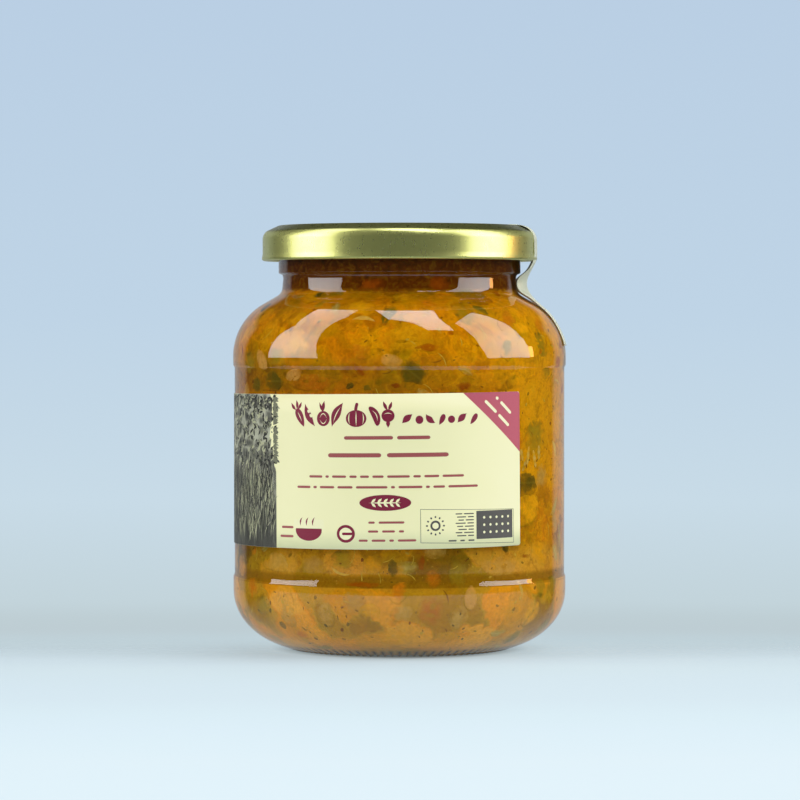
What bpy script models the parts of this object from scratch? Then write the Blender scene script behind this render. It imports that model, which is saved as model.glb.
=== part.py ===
"""A shut glass jar of minestrone: turned glass, twist-off lid, wrap label, seal strip and the soup inside.

Blender 4.5, metres, +Z up. The origin is on the jar's axis, in the plane that it stands on.
The label's front faces -Y and the seal strip lies on the +X side.
"""

import itertools
import math
import random

import bmesh
import bpy
import numpy as np
from mathutils import Euler, Matrix, Vector
from mathutils.geometry import interpolate_bezier

MM = 0.001
TURNS = 48  # flat sides round the axis, so that a side is 7.5 degrees wide
GAP = 0.3 * MM  # kept between pieces that touch

# Jar, outside
PANEL_RADIUS = 39.53 * MM  # the straight wall that the label lies on
PANEL_TOP, PANEL_FOOT = 66.2 * MM, 18.0 * MM
SHOULDER_RADIUS = 13.7 * MM  # of the shoulder's round
SHOULDER_CENTRE = (26.33 * MM, 70.4 * MM)
SHOULDER_END = 64  # degrees round from the widest line to the slope under the neck
BULGE_FOOT = (39.80 * MM, 67.3 * MM)  # the widest band ends here, over the panel
NECK_RADIUS, NECK_FOOT = 27.8 * MM, 86.9 * MM
NECK_FILLET = 3.3 * MM
BEAD_RADIUS, BEAD_TOP, BEAD_FOOT = 29.0 * MM, 93.9 * MM, 89.6 * MM
FINISH_RADIUS = 30.0 * MM  # of the rim that the lid closes on
HEEL_RADIUS, HEEL_TOP = 39.84 * MM, 14.3 * MM
RING_RADIUS, RING_WIDTH = 25.6 * MM, 2.0 * MM  # the flat ring that the jar stands on
PUNT_RISE = 3.4 * MM

# Jar, inside
WALL = 2.6 * MM
RIM_HEIGHT, RIM_BORE = 99.15 * MM, 26.8 * MM
FLOOR_MIDDLE, FLOOR_EDGE = 6.6 * MM, 4.3 * MM
INNER_HEEL = 10.0 * MM

# Lid
LID_RADIUS, LID_TOP, LID_FOOT = 32.8 * MM, 101.2 * MM, 92.7 * MM
LID_SHEET = 0.45 * MM
LID_PANEL, PANEL_EDGE = 100.15 * MM, 28.1 * MM  # the recessed top's height and its edge's radius
BUTTON_RADIUS, BUTTON_DROP = 12.5 * MM, 0.3 * MM
EDGE_RADIUS = 2.3 * MM  # of the round between the top and the skirt
EDGE_CENTRE = (LID_RADIUS - EDGE_RADIUS, LID_TOP - EDGE_RADIUS)
CURL_RADIUS = 0.62 * MM
CURL_CENTRE = (LID_RADIUS - 0.42 * MM, LID_FOOT + CURL_RADIUS)

# Label
LABEL_FOOT, LABEL_HEIGHT = 26.0 * MM, 35.7 * MM  # at the middle of its front
LABEL_RIGHT, LABEL_LEFT = 46.1, -215.0  # degrees from -Y towards +X
LABEL_TILT = math.radians(0.58)
LABEL_GAP, LABEL_SHEET = 0.25 * MM, 0.22 * MM

# Seal strip
SEAL_WIDTH, SEAL_SHEET = 15.0 * MM, 0.25 * MM
SEAL_START = 27.0 * MM  # how far from the axis it begins, on the lid
SEAL_MEETS, SEAL_END = 46, 20  # degrees on the shoulder's round

# Soup
SOUP_LEVEL = 94.4 * MM
CORE_SIDES = 24
CORE_INSET = 2.3 * MM  # from the glass to the core between the pieces
FLAT_INSETS = (0.5 * MM, 0.7 * MM, 0.9 * MM, 1.1 * MM)  # from the glass to the flat of a piece against it
WALL_PIECES, FLOOR_PIECES = 150, 11
FLOOR_SHARE = 0.7  # of the floor's width, which the floor's own pieces take
SHRINKS = (1.0, 0.8, 0.6)  # tried in turn on a piece that would cross the glass
TIP, WANDER = 0.45, 9  # most that a piece leans, in radians, and moves round the axis, in degrees
SEED = 21


def arc(centre, radius, start, end, steps):
    """Points of a circle round centre from the angle start to end, in degrees, ends included."""
    angles = (math.radians(start + (end - start) * i / steps) for i in range(steps + 1))
    return [(centre[0] + radius * math.cos(a), centre[1] + radius * math.sin(a)) for a in angles]


def bezier(first, first_handle, second_handle, second, steps):
    """Points of a Bezier curve between two profile points, ends included."""
    flat = [Vector((r, z, 0)) for r, z in (first, first_handle, second_handle, second)]
    return [(p.x, p.y) for p in interpolate_bezier(*flat, steps + 1)]


def lengthened(point, reach, angle):
    """The point that lies reach away from a profile point, at an angle in degrees."""
    turn = math.radians(angle)
    return (point[0] + reach * math.cos(turn), point[1] + reach * math.sin(turn))


def outer_profile():
    """The jar's outside as (radius, height), from the rim's outer side down to the underside's middle."""
    heel_handle, ring_handle, ring_slope = 7.5 * MM, 7.5 * MM, 12
    heel_end = (RING_RADIUS + 0.7 * MM, 0.2 * MM)
    fillet_centre = (NECK_RADIUS + NECK_FILLET, NECK_FOOT)
    profile = [
        (FINISH_RADIUS, RIM_HEIGHT - 0.9 * MM),
        (FINISH_RADIUS, BEAD_TOP + 1.1 * MM),
        (BEAD_RADIUS, BEAD_TOP),
        (BEAD_RADIUS, BEAD_FOOT + 0.35 * MM),
        (BEAD_RADIUS - 0.3 * MM, BEAD_FOOT),
        (NECK_RADIUS, BEAD_FOOT - 0.1 * MM),
    ]
    profile += arc(fillet_centre, NECK_FILLET, 180, 180 + SHOULDER_END, 3)
    profile += arc(SHOULDER_CENTRE, SHOULDER_RADIUS, SHOULDER_END, 0, 6)
    profile += [BULGE_FOOT, (PANEL_RADIUS, PANEL_TOP), (PANEL_RADIUS, PANEL_FOOT)]
    profile += [(HEEL_RADIUS, PANEL_FOOT - 0.7 * MM)]
    profile += bezier(
        (HEEL_RADIUS, HEEL_TOP),
        (HEEL_RADIUS, HEEL_TOP - heel_handle),
        lengthened(heel_end, ring_handle, ring_slope),
        heel_end,
        6,
    )
    profile += [(RING_RADIUS, 0), (RING_RADIUS - RING_WIDTH, 0)]
    profile += [(RING_RADIUS - RING_WIDTH - 1.6 * MM, 1.5 * MM), (0, PUNT_RISE)]
    return profile


def inner_profile():
    """The jar's inside as (radius, height), from the middle of its floor up to the rim's bore."""
    wall_radius = PANEL_RADIUS - WALL
    fillet_centre = (NECK_RADIUS + NECK_FILLET, NECK_FOOT)
    profile = [(0, FLOOR_MIDDLE), (0.55 * wall_radius, FLOOR_EDGE + 0.7 * MM)]
    profile += arc((wall_radius - INNER_HEEL, FLOOR_EDGE + INNER_HEEL), INNER_HEEL, -90, 0, 3)
    profile += [(wall_radius, PANEL_TOP - WALL)]
    profile += arc(SHOULDER_CENTRE, SHOULDER_RADIUS - WALL, 0, SHOULDER_END, 3)
    profile += arc(fillet_centre, NECK_FILLET + WALL, 180 + SHOULDER_END, 180, 2)
    profile += [(RIM_BORE, RIM_HEIGHT - 0.9 * MM)]
    return profile


def jar_profile():
    """The whole section of the glass: up the inside, over the rim and down the outside."""
    rim_top = [(RIM_BORE + 0.6 * MM, RIM_HEIGHT), (FINISH_RADIUS - 0.6 * MM, RIM_HEIGHT)]
    return inner_profile() + rim_top + outer_profile()


def lid_profile():
    """The lid's section: its recessed top, the round edge, the skirt, the curl and the underside."""
    button_floor = LID_PANEL - BUTTON_DROP
    profile = [(0, button_floor), (BUTTON_RADIUS, button_floor), (BUTTON_RADIUS + 1.2 * MM, LID_PANEL)]
    profile += [(PANEL_EDGE, LID_PANEL), (PANEL_EDGE + 0.7 * MM, LID_TOP - 0.25 * MM)]
    profile += arc(EDGE_CENTRE, EDGE_RADIUS, 100, 0, 4)
    profile += [(LID_RADIUS, LID_FOOT + 1.5 * MM)]
    profile += arc(CURL_CENTRE, CURL_RADIUS, 20, -200, 5)
    profile += [(LID_RADIUS - LID_SHEET, LID_FOOT + 1.6 * MM)]
    profile += [(LID_RADIUS - LID_SHEET, LID_PANEL - 1.3 * MM), (LID_RADIUS - 1.4 * MM, RIM_HEIGHT + GAP)]
    profile += [(0, RIM_HEIGHT + GAP)]
    return profile


def material(name, colour, roughness, metallic=0.0, transmission=0.0):
    """A Principled material."""
    made = bpy.data.materials.new(name)
    made.use_nodes = True
    shader = made.node_tree.nodes["Principled BSDF"]
    shader.inputs["Base Color"].default_value = (*colour, 1.0)
    shader.inputs["Roughness"].default_value = roughness
    shader.inputs["Metallic"].default_value = metallic
    shader.inputs["Transmission Weight"].default_value = transmission
    return made


def add_object(name, mesh, home, finish=None):
    made = bpy.data.objects.new(name, mesh)
    home.objects.link(made)
    if finish is not None:
        mesh.materials.append(finish)
    return made


def evaluated_mesh(source):
    """The source's mesh with its modifiers applied."""
    graph = bpy.context.evaluated_depsgraph_get()
    return bpy.data.meshes.new_from_object(source.evaluated_get(graph))


def turned(name, profile, home, finish=None, sides=TURNS):
    """A closed profile that runs from axis to axis, turned round +Z."""
    mesh = bpy.data.meshes.new(name)
    points = [(r, 0, z) for r, z in profile]
    mesh.from_pydata(points, [(i, i + 1) for i in range(len(points) - 1)], [])
    made = add_object(name, mesh, home, finish)
    screw = made.modifiers.new("Turn", "SCREW")
    screw.steps = screw.render_steps = sides
    screw.use_merge_vertices = True
    screw.merge_threshold = 0.00001
    screw.use_smooth_shade = True
    return made


def sheet(name, point_at, columns, rows, thickness, home, finish):
    """A flat grid laid on a surface: point_at takes two shares from 0 to 1, and Solidify adds the thickness."""
    mesh = bpy.data.meshes.new(name)
    grid = bmesh.new()
    bmesh.ops.create_grid(grid, x_segments=columns, y_segments=rows, size=0.5)
    for vertex in grid.verts:
        vertex.co = point_at(vertex.co.x + 0.5, vertex.co.y + 0.5)
    grid.to_mesh(mesh)
    grid.free()
    made = add_object(name, mesh, home, finish)
    wall = made.modifiers.new("Thickness", "SOLIDIFY")
    wall.thickness = thickness
    wall.offset = 1.0
    return made


def on_round(radius, degrees, height):
    """The point at this many degrees from -Y towards +X."""
    turn = math.radians(degrees)
    return Vector((radius * math.sin(turn), -radius * math.cos(turn), height))


def label_point(along, up):
    """along runs from the label's left end to its right end, and up from its lower edge."""
    degrees = LABEL_LEFT + (LABEL_RIGHT - LABEL_LEFT) * along
    radius = PANEL_RADIUS + LABEL_GAP
    climb = math.tan(LABEL_TILT) * radius * math.radians(degrees)
    return on_round(radius, degrees, LABEL_FOOT + climb + LABEL_HEIGHT * up)


def seal_path():
    """The strip's inner side as (radius, height): over the lid's edge, down to the shoulder and along it."""
    over = arc(EDGE_CENTRE, EDGE_RADIUS + GAP, 90, 0, 4)
    round_curl = arc(CURL_CENTRE, CURL_RADIUS + GAP, 0, -30, 1)
    meets = arc(SHOULDER_CENTRE, SHOULDER_RADIUS + GAP, SEAL_MEETS, SEAL_END, 3)
    bridge = bezier(
        round_curl[-1],
        lengthened(round_curl[-1], 5.0 * MM, -118),
        lengthened(meets[0], 5.0 * MM, 90 + SEAL_MEETS),
        meets[0],
        6,
    )
    return [(SEAL_START, LID_TOP + GAP)] + over + round_curl + bridge[1:] + meets[1:]


def add_seal(home, finish):
    path = seal_path()[::-1]  # from the shoulder up, so that the sheet faces out

    def point_at(across, along):
        radius, height = path[round(along * (len(path) - 1))]
        side = (across - 0.5) * SEAL_WIDTH
        return on_round(radius, 90 + math.degrees(math.asin(side / radius)), height)

    return sheet("seal", point_at, 4, len(path) - 1, SEAL_SHEET, home, finish)


def inset_section(inset):
    """The cavity's section moved inwards: (radius, height) from the floor's middle to under the soup's level."""
    section = np.array(inner_profile())
    steps = np.diff(section, axis=0)
    lengths = np.hypot(steps[:, 0], steps[:, 1])
    normals = np.column_stack([-steps[:, 1], steps[:, 0]]) / lengths[:, None]
    corners = np.vstack([2 * normals[:1], normals[:-1] + normals[1:], 2 * normals[-1:]])
    moved = section + inset * corners / ((corners**2).sum(axis=1, keepdims=True) / 2)
    moved[0, 0] = 0
    top = SOUP_LEVEL - inset
    neck = np.interp(top, moved[-2:, 1], moved[-2:, 0])
    return np.vstack([moved[:-1], [neck, top]])


def crosses(shape, section):
    """Whether the shape reaches outside the turned section, at a corner or along an edge."""
    ends = np.array([[v.co[:] for v in edge.verts] for edge in shape.edges])
    points = np.vstack([ends[:, 0] + (ends[:, 1] - ends[:, 0]) * share for share in (0, 0.33, 0.67, 1)])
    flat = np.column_stack([np.hypot(points[:, 0], points[:, 1]), points[:, 2]])
    along = np.diff(section, axis=0)
    share = ((flat[:, None] - section[:-1]) * along).sum(axis=2) / (along**2).sum(axis=1)
    away = flat[:, None] - section[:-1] - along * np.clip(share, 0, 1)[..., None]
    nearest = (away**2).sum(axis=2).argmin(axis=1)
    away = away[np.arange(len(points)), nearest]
    outside = along[nearest, 0] * away[:, 1] < along[nearest, 1] * away[:, 0]
    return bool((outside | (flat[:, 1] > SOUP_LEVEL)).any())


def bean(shape, size):
    """A bean or a whole pea: a round with few sides, longer one way."""
    bmesh.ops.create_uvsphere(shape, u_segments=6, v_segments=4, radius=0.5)
    return Matrix.Diagonal((size, 0.68 * size, 0.62 * size, 1))


def dice(shape, size):
    """A cube of squash, potato or carrot, a little narrower at one end."""
    bmesh.ops.create_cone(shape, cap_ends=True, segments=4, radius1=0.62, radius2=0.52, depth=0.85)
    return Matrix.Diagonal((size, 0.88 * size, size, 1))


def coin(shape, size):
    """A slice across a courgette or a stick of celery."""
    bmesh.ops.create_cone(shape, cap_ends=True, segments=8, radius1=0.5, radius2=0.44, depth=0.42)
    return Matrix.Diagonal((size, 0.82 * size, size, 1))


def shred(shape, size):
    """A folded piece of leaf, thin and long."""
    bmesh.ops.create_uvsphere(shape, u_segments=5, v_segments=4, radius=0.5)
    return Matrix.Diagonal((1.25 * size, 0.5 * size, 0.26 * size, 1))


KINDS = [  # how to make it, its least and largest size, and its share of the heap
    (dice, 6.5 * MM, 10.5 * MM, 0.40),
    (bean, 7.0 * MM, 11.5 * MM, 0.26),
    (coin, 6.5 * MM, 11.0 * MM, 0.20),
    (shred, 7.0 * MM, 12.0 * MM, 0.14),
]


def heap_spots(draw):
    """(place, degrees round the axis, lean of the outward direction) of each piece.

    They follow a spiral up the core by the golden angle, evenly by area, and a second one over its floor."""
    section = inset_section(CORE_INSET)
    golden = 180 * (3 - math.sqrt(5))
    steps = np.diff(section, axis=0)
    middle_radius = (section[:-1, 0] + section[1:, 0]) / 2
    area = np.concatenate([[0], np.cumsum(np.hypot(steps[:, 0], steps[:, 1]) * middle_radius)])
    floor_radius = FLOOR_SHARE * section[2, 0]
    start = np.interp(floor_radius, section[:3, 0], area[:3])
    spots = []
    for i in range(WALL_PIECES):
        share = (i + 0.5 + draw.uniform(-0.35, 0.35)) / WALL_PIECES
        here = start + (area[-1] - start) * share
        row = min(int(np.searchsorted(area, here)) - 1, len(steps) - 1)
        radius, height = (float(np.interp(here, area, section[:, k])) for k in (0, 1))
        degrees = golden * i + draw.uniform(-WANDER, WANDER)
        lean = math.degrees(math.atan2(-steps[row, 0], steps[row, 1]))
        spots.append((on_round(radius, degrees, height), degrees, lean))
    for i in range(FLOOR_PIECES):
        radius = floor_radius * math.sqrt((i + 0.5) / FLOOR_PIECES)
        height = float(np.interp(radius, section[:3, 0], section[:3, 1]))
        spots.append((on_round(radius, golden * i, height), golden * i, -90))
    return spots


def pressed_piece(make, size, placed, roll, inset):
    """A piece with its middle at the core's surface, cut flat where it lies against the glass."""
    shape = bmesh.new()
    stretch = make(shape, size)
    shape.transform(placed @ roll.to_matrix().to_4x4() @ stretch)
    outward = placed.to_3x3() @ Vector((0, 0, 1))
    cut = bmesh.ops.bisect_plane(
        shape,
        geom=shape.verts[:] + shape.edges[:] + shape.faces[:],
        plane_co=placed.translation + outward * (CORE_INSET - inset),
        plane_no=outward,
        clear_outer=True,
    )
    rim = [part for part in cut["geom_cut"] if isinstance(part, bmesh.types.BMEdge)]
    bmesh.ops.edgeloop_fill(shape, edges=rim)
    bmesh.ops.recalc_face_normals(shape, faces=shape.faces[:])
    return shape


def add_heap_pieces(home):
    """The pieces that show at the glass. One that would cross it is cut flatter, then made smaller, or left out."""
    draw = random.Random(SEED)
    glass = inset_section(GAP)
    shares = [kind[3] for kind in KINDS]
    for index, (place, degrees, lean) in enumerate(heap_spots(draw)):
        make, least, largest, _ = draw.choices(KINDS, shares)[0]
        size = draw.uniform(least, largest)
        outward = Euler((math.radians(90 - lean), 0, math.radians(degrees))).to_matrix().to_4x4()
        placed = Matrix.Translation(place) @ outward
        roll = Euler([draw.uniform(-TIP, TIP), draw.uniform(-TIP, TIP), draw.uniform(0, math.tau)])
        for shrink, inset in itertools.product(SHRINKS, FLAT_INSETS):
            shape = pressed_piece(make, size * shrink, placed, roll, inset)
            fits = not crosses(shape, glass)
            if fits:
                mesh = bpy.data.meshes.new(f"piece_{index}")
                shape.to_mesh(mesh)
                add_object(mesh.name, mesh, home)
            shape.free()
            if fits:
                break


def keep_largest_shell(mesh):
    """Drops loose scraps and the shells of sealed hollows, so that one closed body is left."""
    shape = bmesh.new()
    shape.from_mesh(mesh)
    bmesh.ops.remove_doubles(shape, verts=shape.verts[:], dist=0.001 * MM)
    left, shells = set(shape.faces), []
    while left:
        shell, to_visit = set(), [next(iter(left))]
        while to_visit:
            face = to_visit.pop()
            if face in shell:
                continue
            shell.add(face)
            smooth_edges = [edge for edge in face.edges if len(edge.link_faces) == 2]
            to_visit += [other for edge in smooth_edges for other in edge.link_faces]
        left -= shell
        shells.append(shell)
    shells.sort(key=len)
    scraps = [face for shell in shells[:-1] for face in shell]
    bmesh.ops.delete(shape, geom=scraps, context="FACES")
    bmesh.ops.triangulate(shape, faces=shape.faces[:])
    shape.to_mesh(mesh)
    shape.free()


def add_soup(home, finish):
    """The core of pulp, with the pieces fused on."""
    heap = bpy.data.collections.new("heap")
    bpy.context.scene.collection.children.link(heap)
    add_heap_pieces(heap)
    section = [(float(r), float(z)) for r, z in inset_section(CORE_INSET)]
    core = turned("core", [(0, section[-1][1])] + section[::-1], home, sides=CORE_SIDES)
    fuse = core.modifiers.new("Fuse", "BOOLEAN")
    fuse.operation = "UNION"
    fuse.operand_type = "COLLECTION"
    fuse.collection = heap
    fuse.solver = "EXACT"
    mesh = evaluated_mesh(core)
    for source in [core, *heap.objects]:
        bpy.data.objects.remove(source)
    bpy.data.collections.remove(heap)
    keep_largest_shell(mesh)
    mesh.name = "minestrone"
    mesh.shade_smooth()
    mesh.set_sharp_from_angle(angle=math.radians(35))
    return add_object("minestrone", mesh, home, finish)


def main():
    for old in list(bpy.data.objects):
        bpy.data.objects.remove(old)
    jar_parts = bpy.data.collections.new("jar_of_minestrone")
    bpy.context.scene.collection.children.link(jar_parts)
    glass = material("clear_glass", (0.93, 0.97, 0.95), 0.03, transmission=1.0)
    gold = material("gold_lacquer", (0.72, 0.60, 0.25), 0.28, metallic=1.0)
    paper = material("cream_paper", (0.91, 0.86, 0.53), 0.55)
    film = material("seal_paper", (0.90, 0.89, 0.78), 0.40)
    soup = material("soup", (0.45, 0.16, 0.01), 0.45)
    turned("jar", jar_profile(), jar_parts, glass)
    turned("lid", lid_profile(), jar_parts, gold)
    columns = round((LABEL_RIGHT - LABEL_LEFT) * TURNS / 360)
    sheet("label", label_point, columns, 1, LABEL_SHEET, jar_parts, paper)
    add_seal(jar_parts, film)
    add_soup(jar_parts, soup)


main()
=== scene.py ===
"""The looks of a shut glass jar of minestrone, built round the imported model.

Everything is in metres in the model's own frame: +Z up along the jar's axis, the label's front
towards -Y and the seal strip towards +X. Angles round the axis are degrees from -Y towards +X.
"""

import math

import bpy
import numpy as np
from mathutils import Matrix


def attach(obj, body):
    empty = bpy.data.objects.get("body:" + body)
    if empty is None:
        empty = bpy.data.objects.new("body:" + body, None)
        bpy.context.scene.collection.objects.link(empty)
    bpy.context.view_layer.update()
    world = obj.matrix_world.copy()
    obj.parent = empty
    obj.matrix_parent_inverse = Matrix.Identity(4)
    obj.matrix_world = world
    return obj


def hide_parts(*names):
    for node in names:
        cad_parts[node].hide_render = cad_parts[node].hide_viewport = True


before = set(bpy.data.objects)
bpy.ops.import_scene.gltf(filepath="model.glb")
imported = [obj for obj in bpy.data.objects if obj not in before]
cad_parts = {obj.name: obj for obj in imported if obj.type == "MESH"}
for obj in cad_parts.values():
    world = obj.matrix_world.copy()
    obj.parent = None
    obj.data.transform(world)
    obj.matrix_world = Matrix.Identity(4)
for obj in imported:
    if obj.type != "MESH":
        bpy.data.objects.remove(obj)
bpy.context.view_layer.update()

MM = 0.001
TAU = 2 * math.pi
draw = np.random.default_rng(7)

# Jar: its solid's values, but for a shoulder that is a shade slimmer, as the photograph shows it
PANEL_RADIUS = 39.53 * MM
PANEL_TOP, PANEL_FOOT = 67.4 * MM, 18.0 * MM
SHOULDER_RADIUS, SHOULDER_CENTRE, SHOULDER_END = 14.46 * MM, (25.44 * MM, 69.9 * MM), 60.5
BULGE_FOOT = (39.87 * MM, 67.75 * MM)
NECK_RADIUS, NECK_FOOT, NECK_FILLET = 28.1 * MM, 86.4 * MM, 2.35 * MM
BEAD_RADIUS, BEAD_TOP, BEAD_FOOT = 29.0 * MM, 93.9 * MM, 89.6 * MM
FINISH_RADIUS = 30.0 * MM
HEEL_RADIUS, HEEL_TOP = 39.84 * MM, 14.3 * MM
RING_RADIUS, RING_WIDTH, PUNT_RISE = 25.6 * MM, 2.0 * MM, 3.4 * MM
WALL = 2.6 * MM
RIM_HEIGHT, RIM_BORE, RIM_ROUND = 99.15 * MM, 26.8 * MM, 0.8 * MM
FLOOR_MIDDLE, FLOOR_EDGE, INNER_HEEL = 6.6 * MM, 4.3 * MM, 10.0 * MM
SOUP_LEVEL = 94.4 * MM

# Lid
LID_RADIUS, LID_TOP, LID_FOOT = 32.8 * MM, 101.2 * MM, 92.7 * MM
LID_PANEL, LID_SHEET = 100.15 * MM, 0.3 * MM
CURL_RADIUS = 0.62 * MM
CURL_CENTRE = (LID_RADIUS - 0.42 * MM, LID_FOOT + CURL_RADIUS)

# Label and seal
LABEL_FOOT, LABEL_HEIGHT = 26.0 * MM, 35.7 * MM
LABEL_RIGHT, LABEL_LEFT = 44.75, -215.0
LABEL_TILT = math.radians(0.58)
LABEL_RADIUS = PANEL_RADIUS + 0.14 * MM
CORNER_ROUND = 0.6 * MM
SEAL_WIDTH = 15.0 * MM


# Mesh making


def arc(centre, radius, start, end, steps):
    """Points of a circle round centre, between two angles in degrees, as an array of (radius, height)."""
    turn = np.radians(np.linspace(start, end, steps + 1))
    return np.column_stack([centre[0] + radius * np.cos(turn), centre[1] + radius * np.sin(turn)])


def bezier(first, first_handle, second_handle, second, steps):
    """The cubic Bezier curve: the four points weighted by (1-t)^3, 3t(1-t)^2, 3t^2(1-t) and t^3."""
    t = np.linspace(0, 1, steps + 1)[:, None]
    a, b, c, d = map(np.array, (first, first_handle, second_handle, second))
    return (1 - t) ** 3 * a + 3 * t * (1 - t) ** 2 * b + 3 * t**2 * (1 - t) * c + t**3 * d


def lengthened(point, reach, angle):
    """The point that lies reach away from a profile point, at an angle in degrees."""
    turn = math.radians(angle)
    return (point[0] + reach * math.cos(turn), point[1] + reach * math.sin(turn))


def along_path(path, step):
    """The path again, with a point about every step of its length, straight between the old points."""
    path = np.asarray(path, float)
    length = np.concatenate([[0], np.cumsum(np.hypot(*np.diff(path, axis=0).T))])
    at = np.linspace(0, length[-1], max(int(length[-1] / step), 2) + 1)
    return np.column_stack([np.interp(at, length, path[:, 0]), np.interp(at, length, path[:, 1])])


def softened(path, passes):
    """Each inner point goes halfway to the middle of its neighbours, so many times, which rounds corners."""
    path = np.array(path, float)
    for _ in range(passes):
        path[1:-1] = 0.5 * path[1:-1] + 0.25 * (path[:-2] + path[2:])
    return path


def thinned(path, sag, longest=4 * MM):
    """Drops points within sag of the straight line between those kept, which are at most longest apart."""
    path = np.asarray(path, float)
    kept, start = [0], 0
    for end in range(2, len(path)):
        chord = path[end] - path[start]
        off = path[start + 1 : end] - path[start]
        far = np.abs(off[:, 0] * chord[1] - off[:, 1] * chord[0]) / max(np.hypot(*chord), 1e-12)
        if far.max() > sag or np.hypot(*chord) > longest:
            kept.append(end - 1)
            start = end - 1
    return path[kept + [len(path) - 1]]


def add_mesh(name, points, faces, finish, smooth=True):
    """A mesh object at the origin from an array of points and arrays of faces, one for each corner count."""
    mesh = bpy.data.meshes.new(name)
    corners = np.concatenate([face.reshape(-1) for face in faces])
    sizes = np.concatenate([np.full(len(face), face.shape[1]) for face in faces])
    mesh.vertices.add(len(points))
    mesh.vertices.foreach_set("co", np.asarray(points, np.float32).reshape(-1))
    mesh.loops.add(len(corners))
    mesh.loops.foreach_set("vertex_index", corners.astype(np.int32))
    mesh.polygons.add(len(sizes))
    mesh.polygons.foreach_set("loop_start", (np.cumsum(sizes) - sizes).astype(np.int32))
    mesh.update(calc_edges=True)
    mesh.validate()
    mesh.polygons.foreach_set("use_smooth", np.full(len(mesh.polygons), smooth))
    mesh.materials.append(finish)
    made = bpy.data.objects.new(name, mesh)
    bpy.context.scene.collection.objects.link(made)
    return made


def grid_faces(rows, columns, round_columns=False):
    """The corners of each cell of a grid of rows by columns, whose point i, j is number i * columns + j."""
    number = np.arange(rows * columns).reshape(rows, columns)
    if round_columns:
        number = np.hstack([number, number[:, :1]])
    corners = [number[:-1, :-1], number[:-1, 1:], number[1:, 1:], number[1:, :-1]]
    return np.stack(corners, axis=-1).reshape(-1, 4)


def round_faces(rows, columns, first_pole=True):
    """The faces of rows rings of points, and the triangles that close them at their poles. The points of the
    poles come after the rings: the first one, unless there is none, and then the last."""
    here, after = np.arange(columns), np.roll(np.arange(columns), -1)
    last, pole = (rows - 1) * columns, np.full(columns, rows * columns)
    ends = [np.column_stack([pole, after, here])] if first_pole else []
    ends.append(np.column_stack([pole + len(ends), last + here, last + after]))
    return grid_faces(rows, columns, round_columns=True), np.vstack(ends)


def turned(name, profile, sides, finish, shift=None, first_pole=True):
    """A profile of (radius, height) turned round +Z: point j is (r sin a, -r cos a, z), a = 2 pi j / sides.

    shift takes the grids of radius, angle and height and gives new radii and heights. The profile ends on the
    axis, at a pole closed with triangles, and it starts on one too unless first_pole is false."""
    profile = np.asarray(profile, float)
    radius, height = (np.repeat(profile[:, k : k + 1], sides, axis=1) for k in (0, 1))
    angle = np.broadcast_to(np.arange(sides) / sides * TAU, radius.shape)
    if shift is not None:
        radius, height = shift(radius, angle, height)
    points = np.stack([radius * np.sin(angle), -radius * np.cos(angle), height], axis=-1)
    rings = points[int(first_pole) : -1]
    poles = points[[0, -1] if first_pole else [-1], 0]
    faces = round_faces(len(rings), sides, first_pole)
    return add_mesh(name, np.vstack([rings.reshape(-1, 3), poles]), faces, finish)


def on_round(radius, degrees, height):
    """Points at an angle from -Y towards +X, as arrays."""
    turn = np.radians(degrees)
    return np.stack([radius * np.sin(turn), -radius * np.cos(turn), height + 0 * turn], axis=-1)


# Shader making


class Wire:
    """A socket of a material. Maths on it reads as an expression and adds the Math nodes."""

    def __init__(self, finish, socket):
        self.finish, self.socket = finish, socket

    def maths(self, operation, *terms):
        """A Math node of the terms, or of this value alone, as for SINE, FRACT or ABSOLUTE."""
        return self.finish.node("Math", {"operation": operation}, dict(enumerate(terms or [self])))

    def __add__(self, other):
        return self.maths("ADD", self, other)

    def __sub__(self, other):
        return self.maths("SUBTRACT", self, other)

    def __rsub__(self, other):
        return self.maths("SUBTRACT", other, self)

    def __mul__(self, other):
        return self.maths("MULTIPLY", self, other)

    def __truediv__(self, other):
        return self.maths("DIVIDE", self, other)

    def __rtruediv__(self, other):
        return self.maths("DIVIDE", other, self)

    def __pow__(self, other):
        return self.maths("POWER", self, other)

    def __rpow__(self, other):
        return self.maths("POWER", other, self)

    __radd__, __rmul__ = __add__, __mul__

    def higher(self, other):
        return self.maths("MAXIMUM", self, other)

    def step(self, low, high):
        """0 below low, 1 above high and a smooth slope between; with low over high it falls."""
        flip = low > high
        least, most = (high, low) if flip else (low, high)
        inputs = {"Value": self, "From Min": least, "From Max": most}
        inputs |= {"To Min": float(flip), "To Max": float(not flip)}
        return self.finish.node("MapRange", {"interpolation_type": "SMOOTHSTEP"}, inputs)


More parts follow.
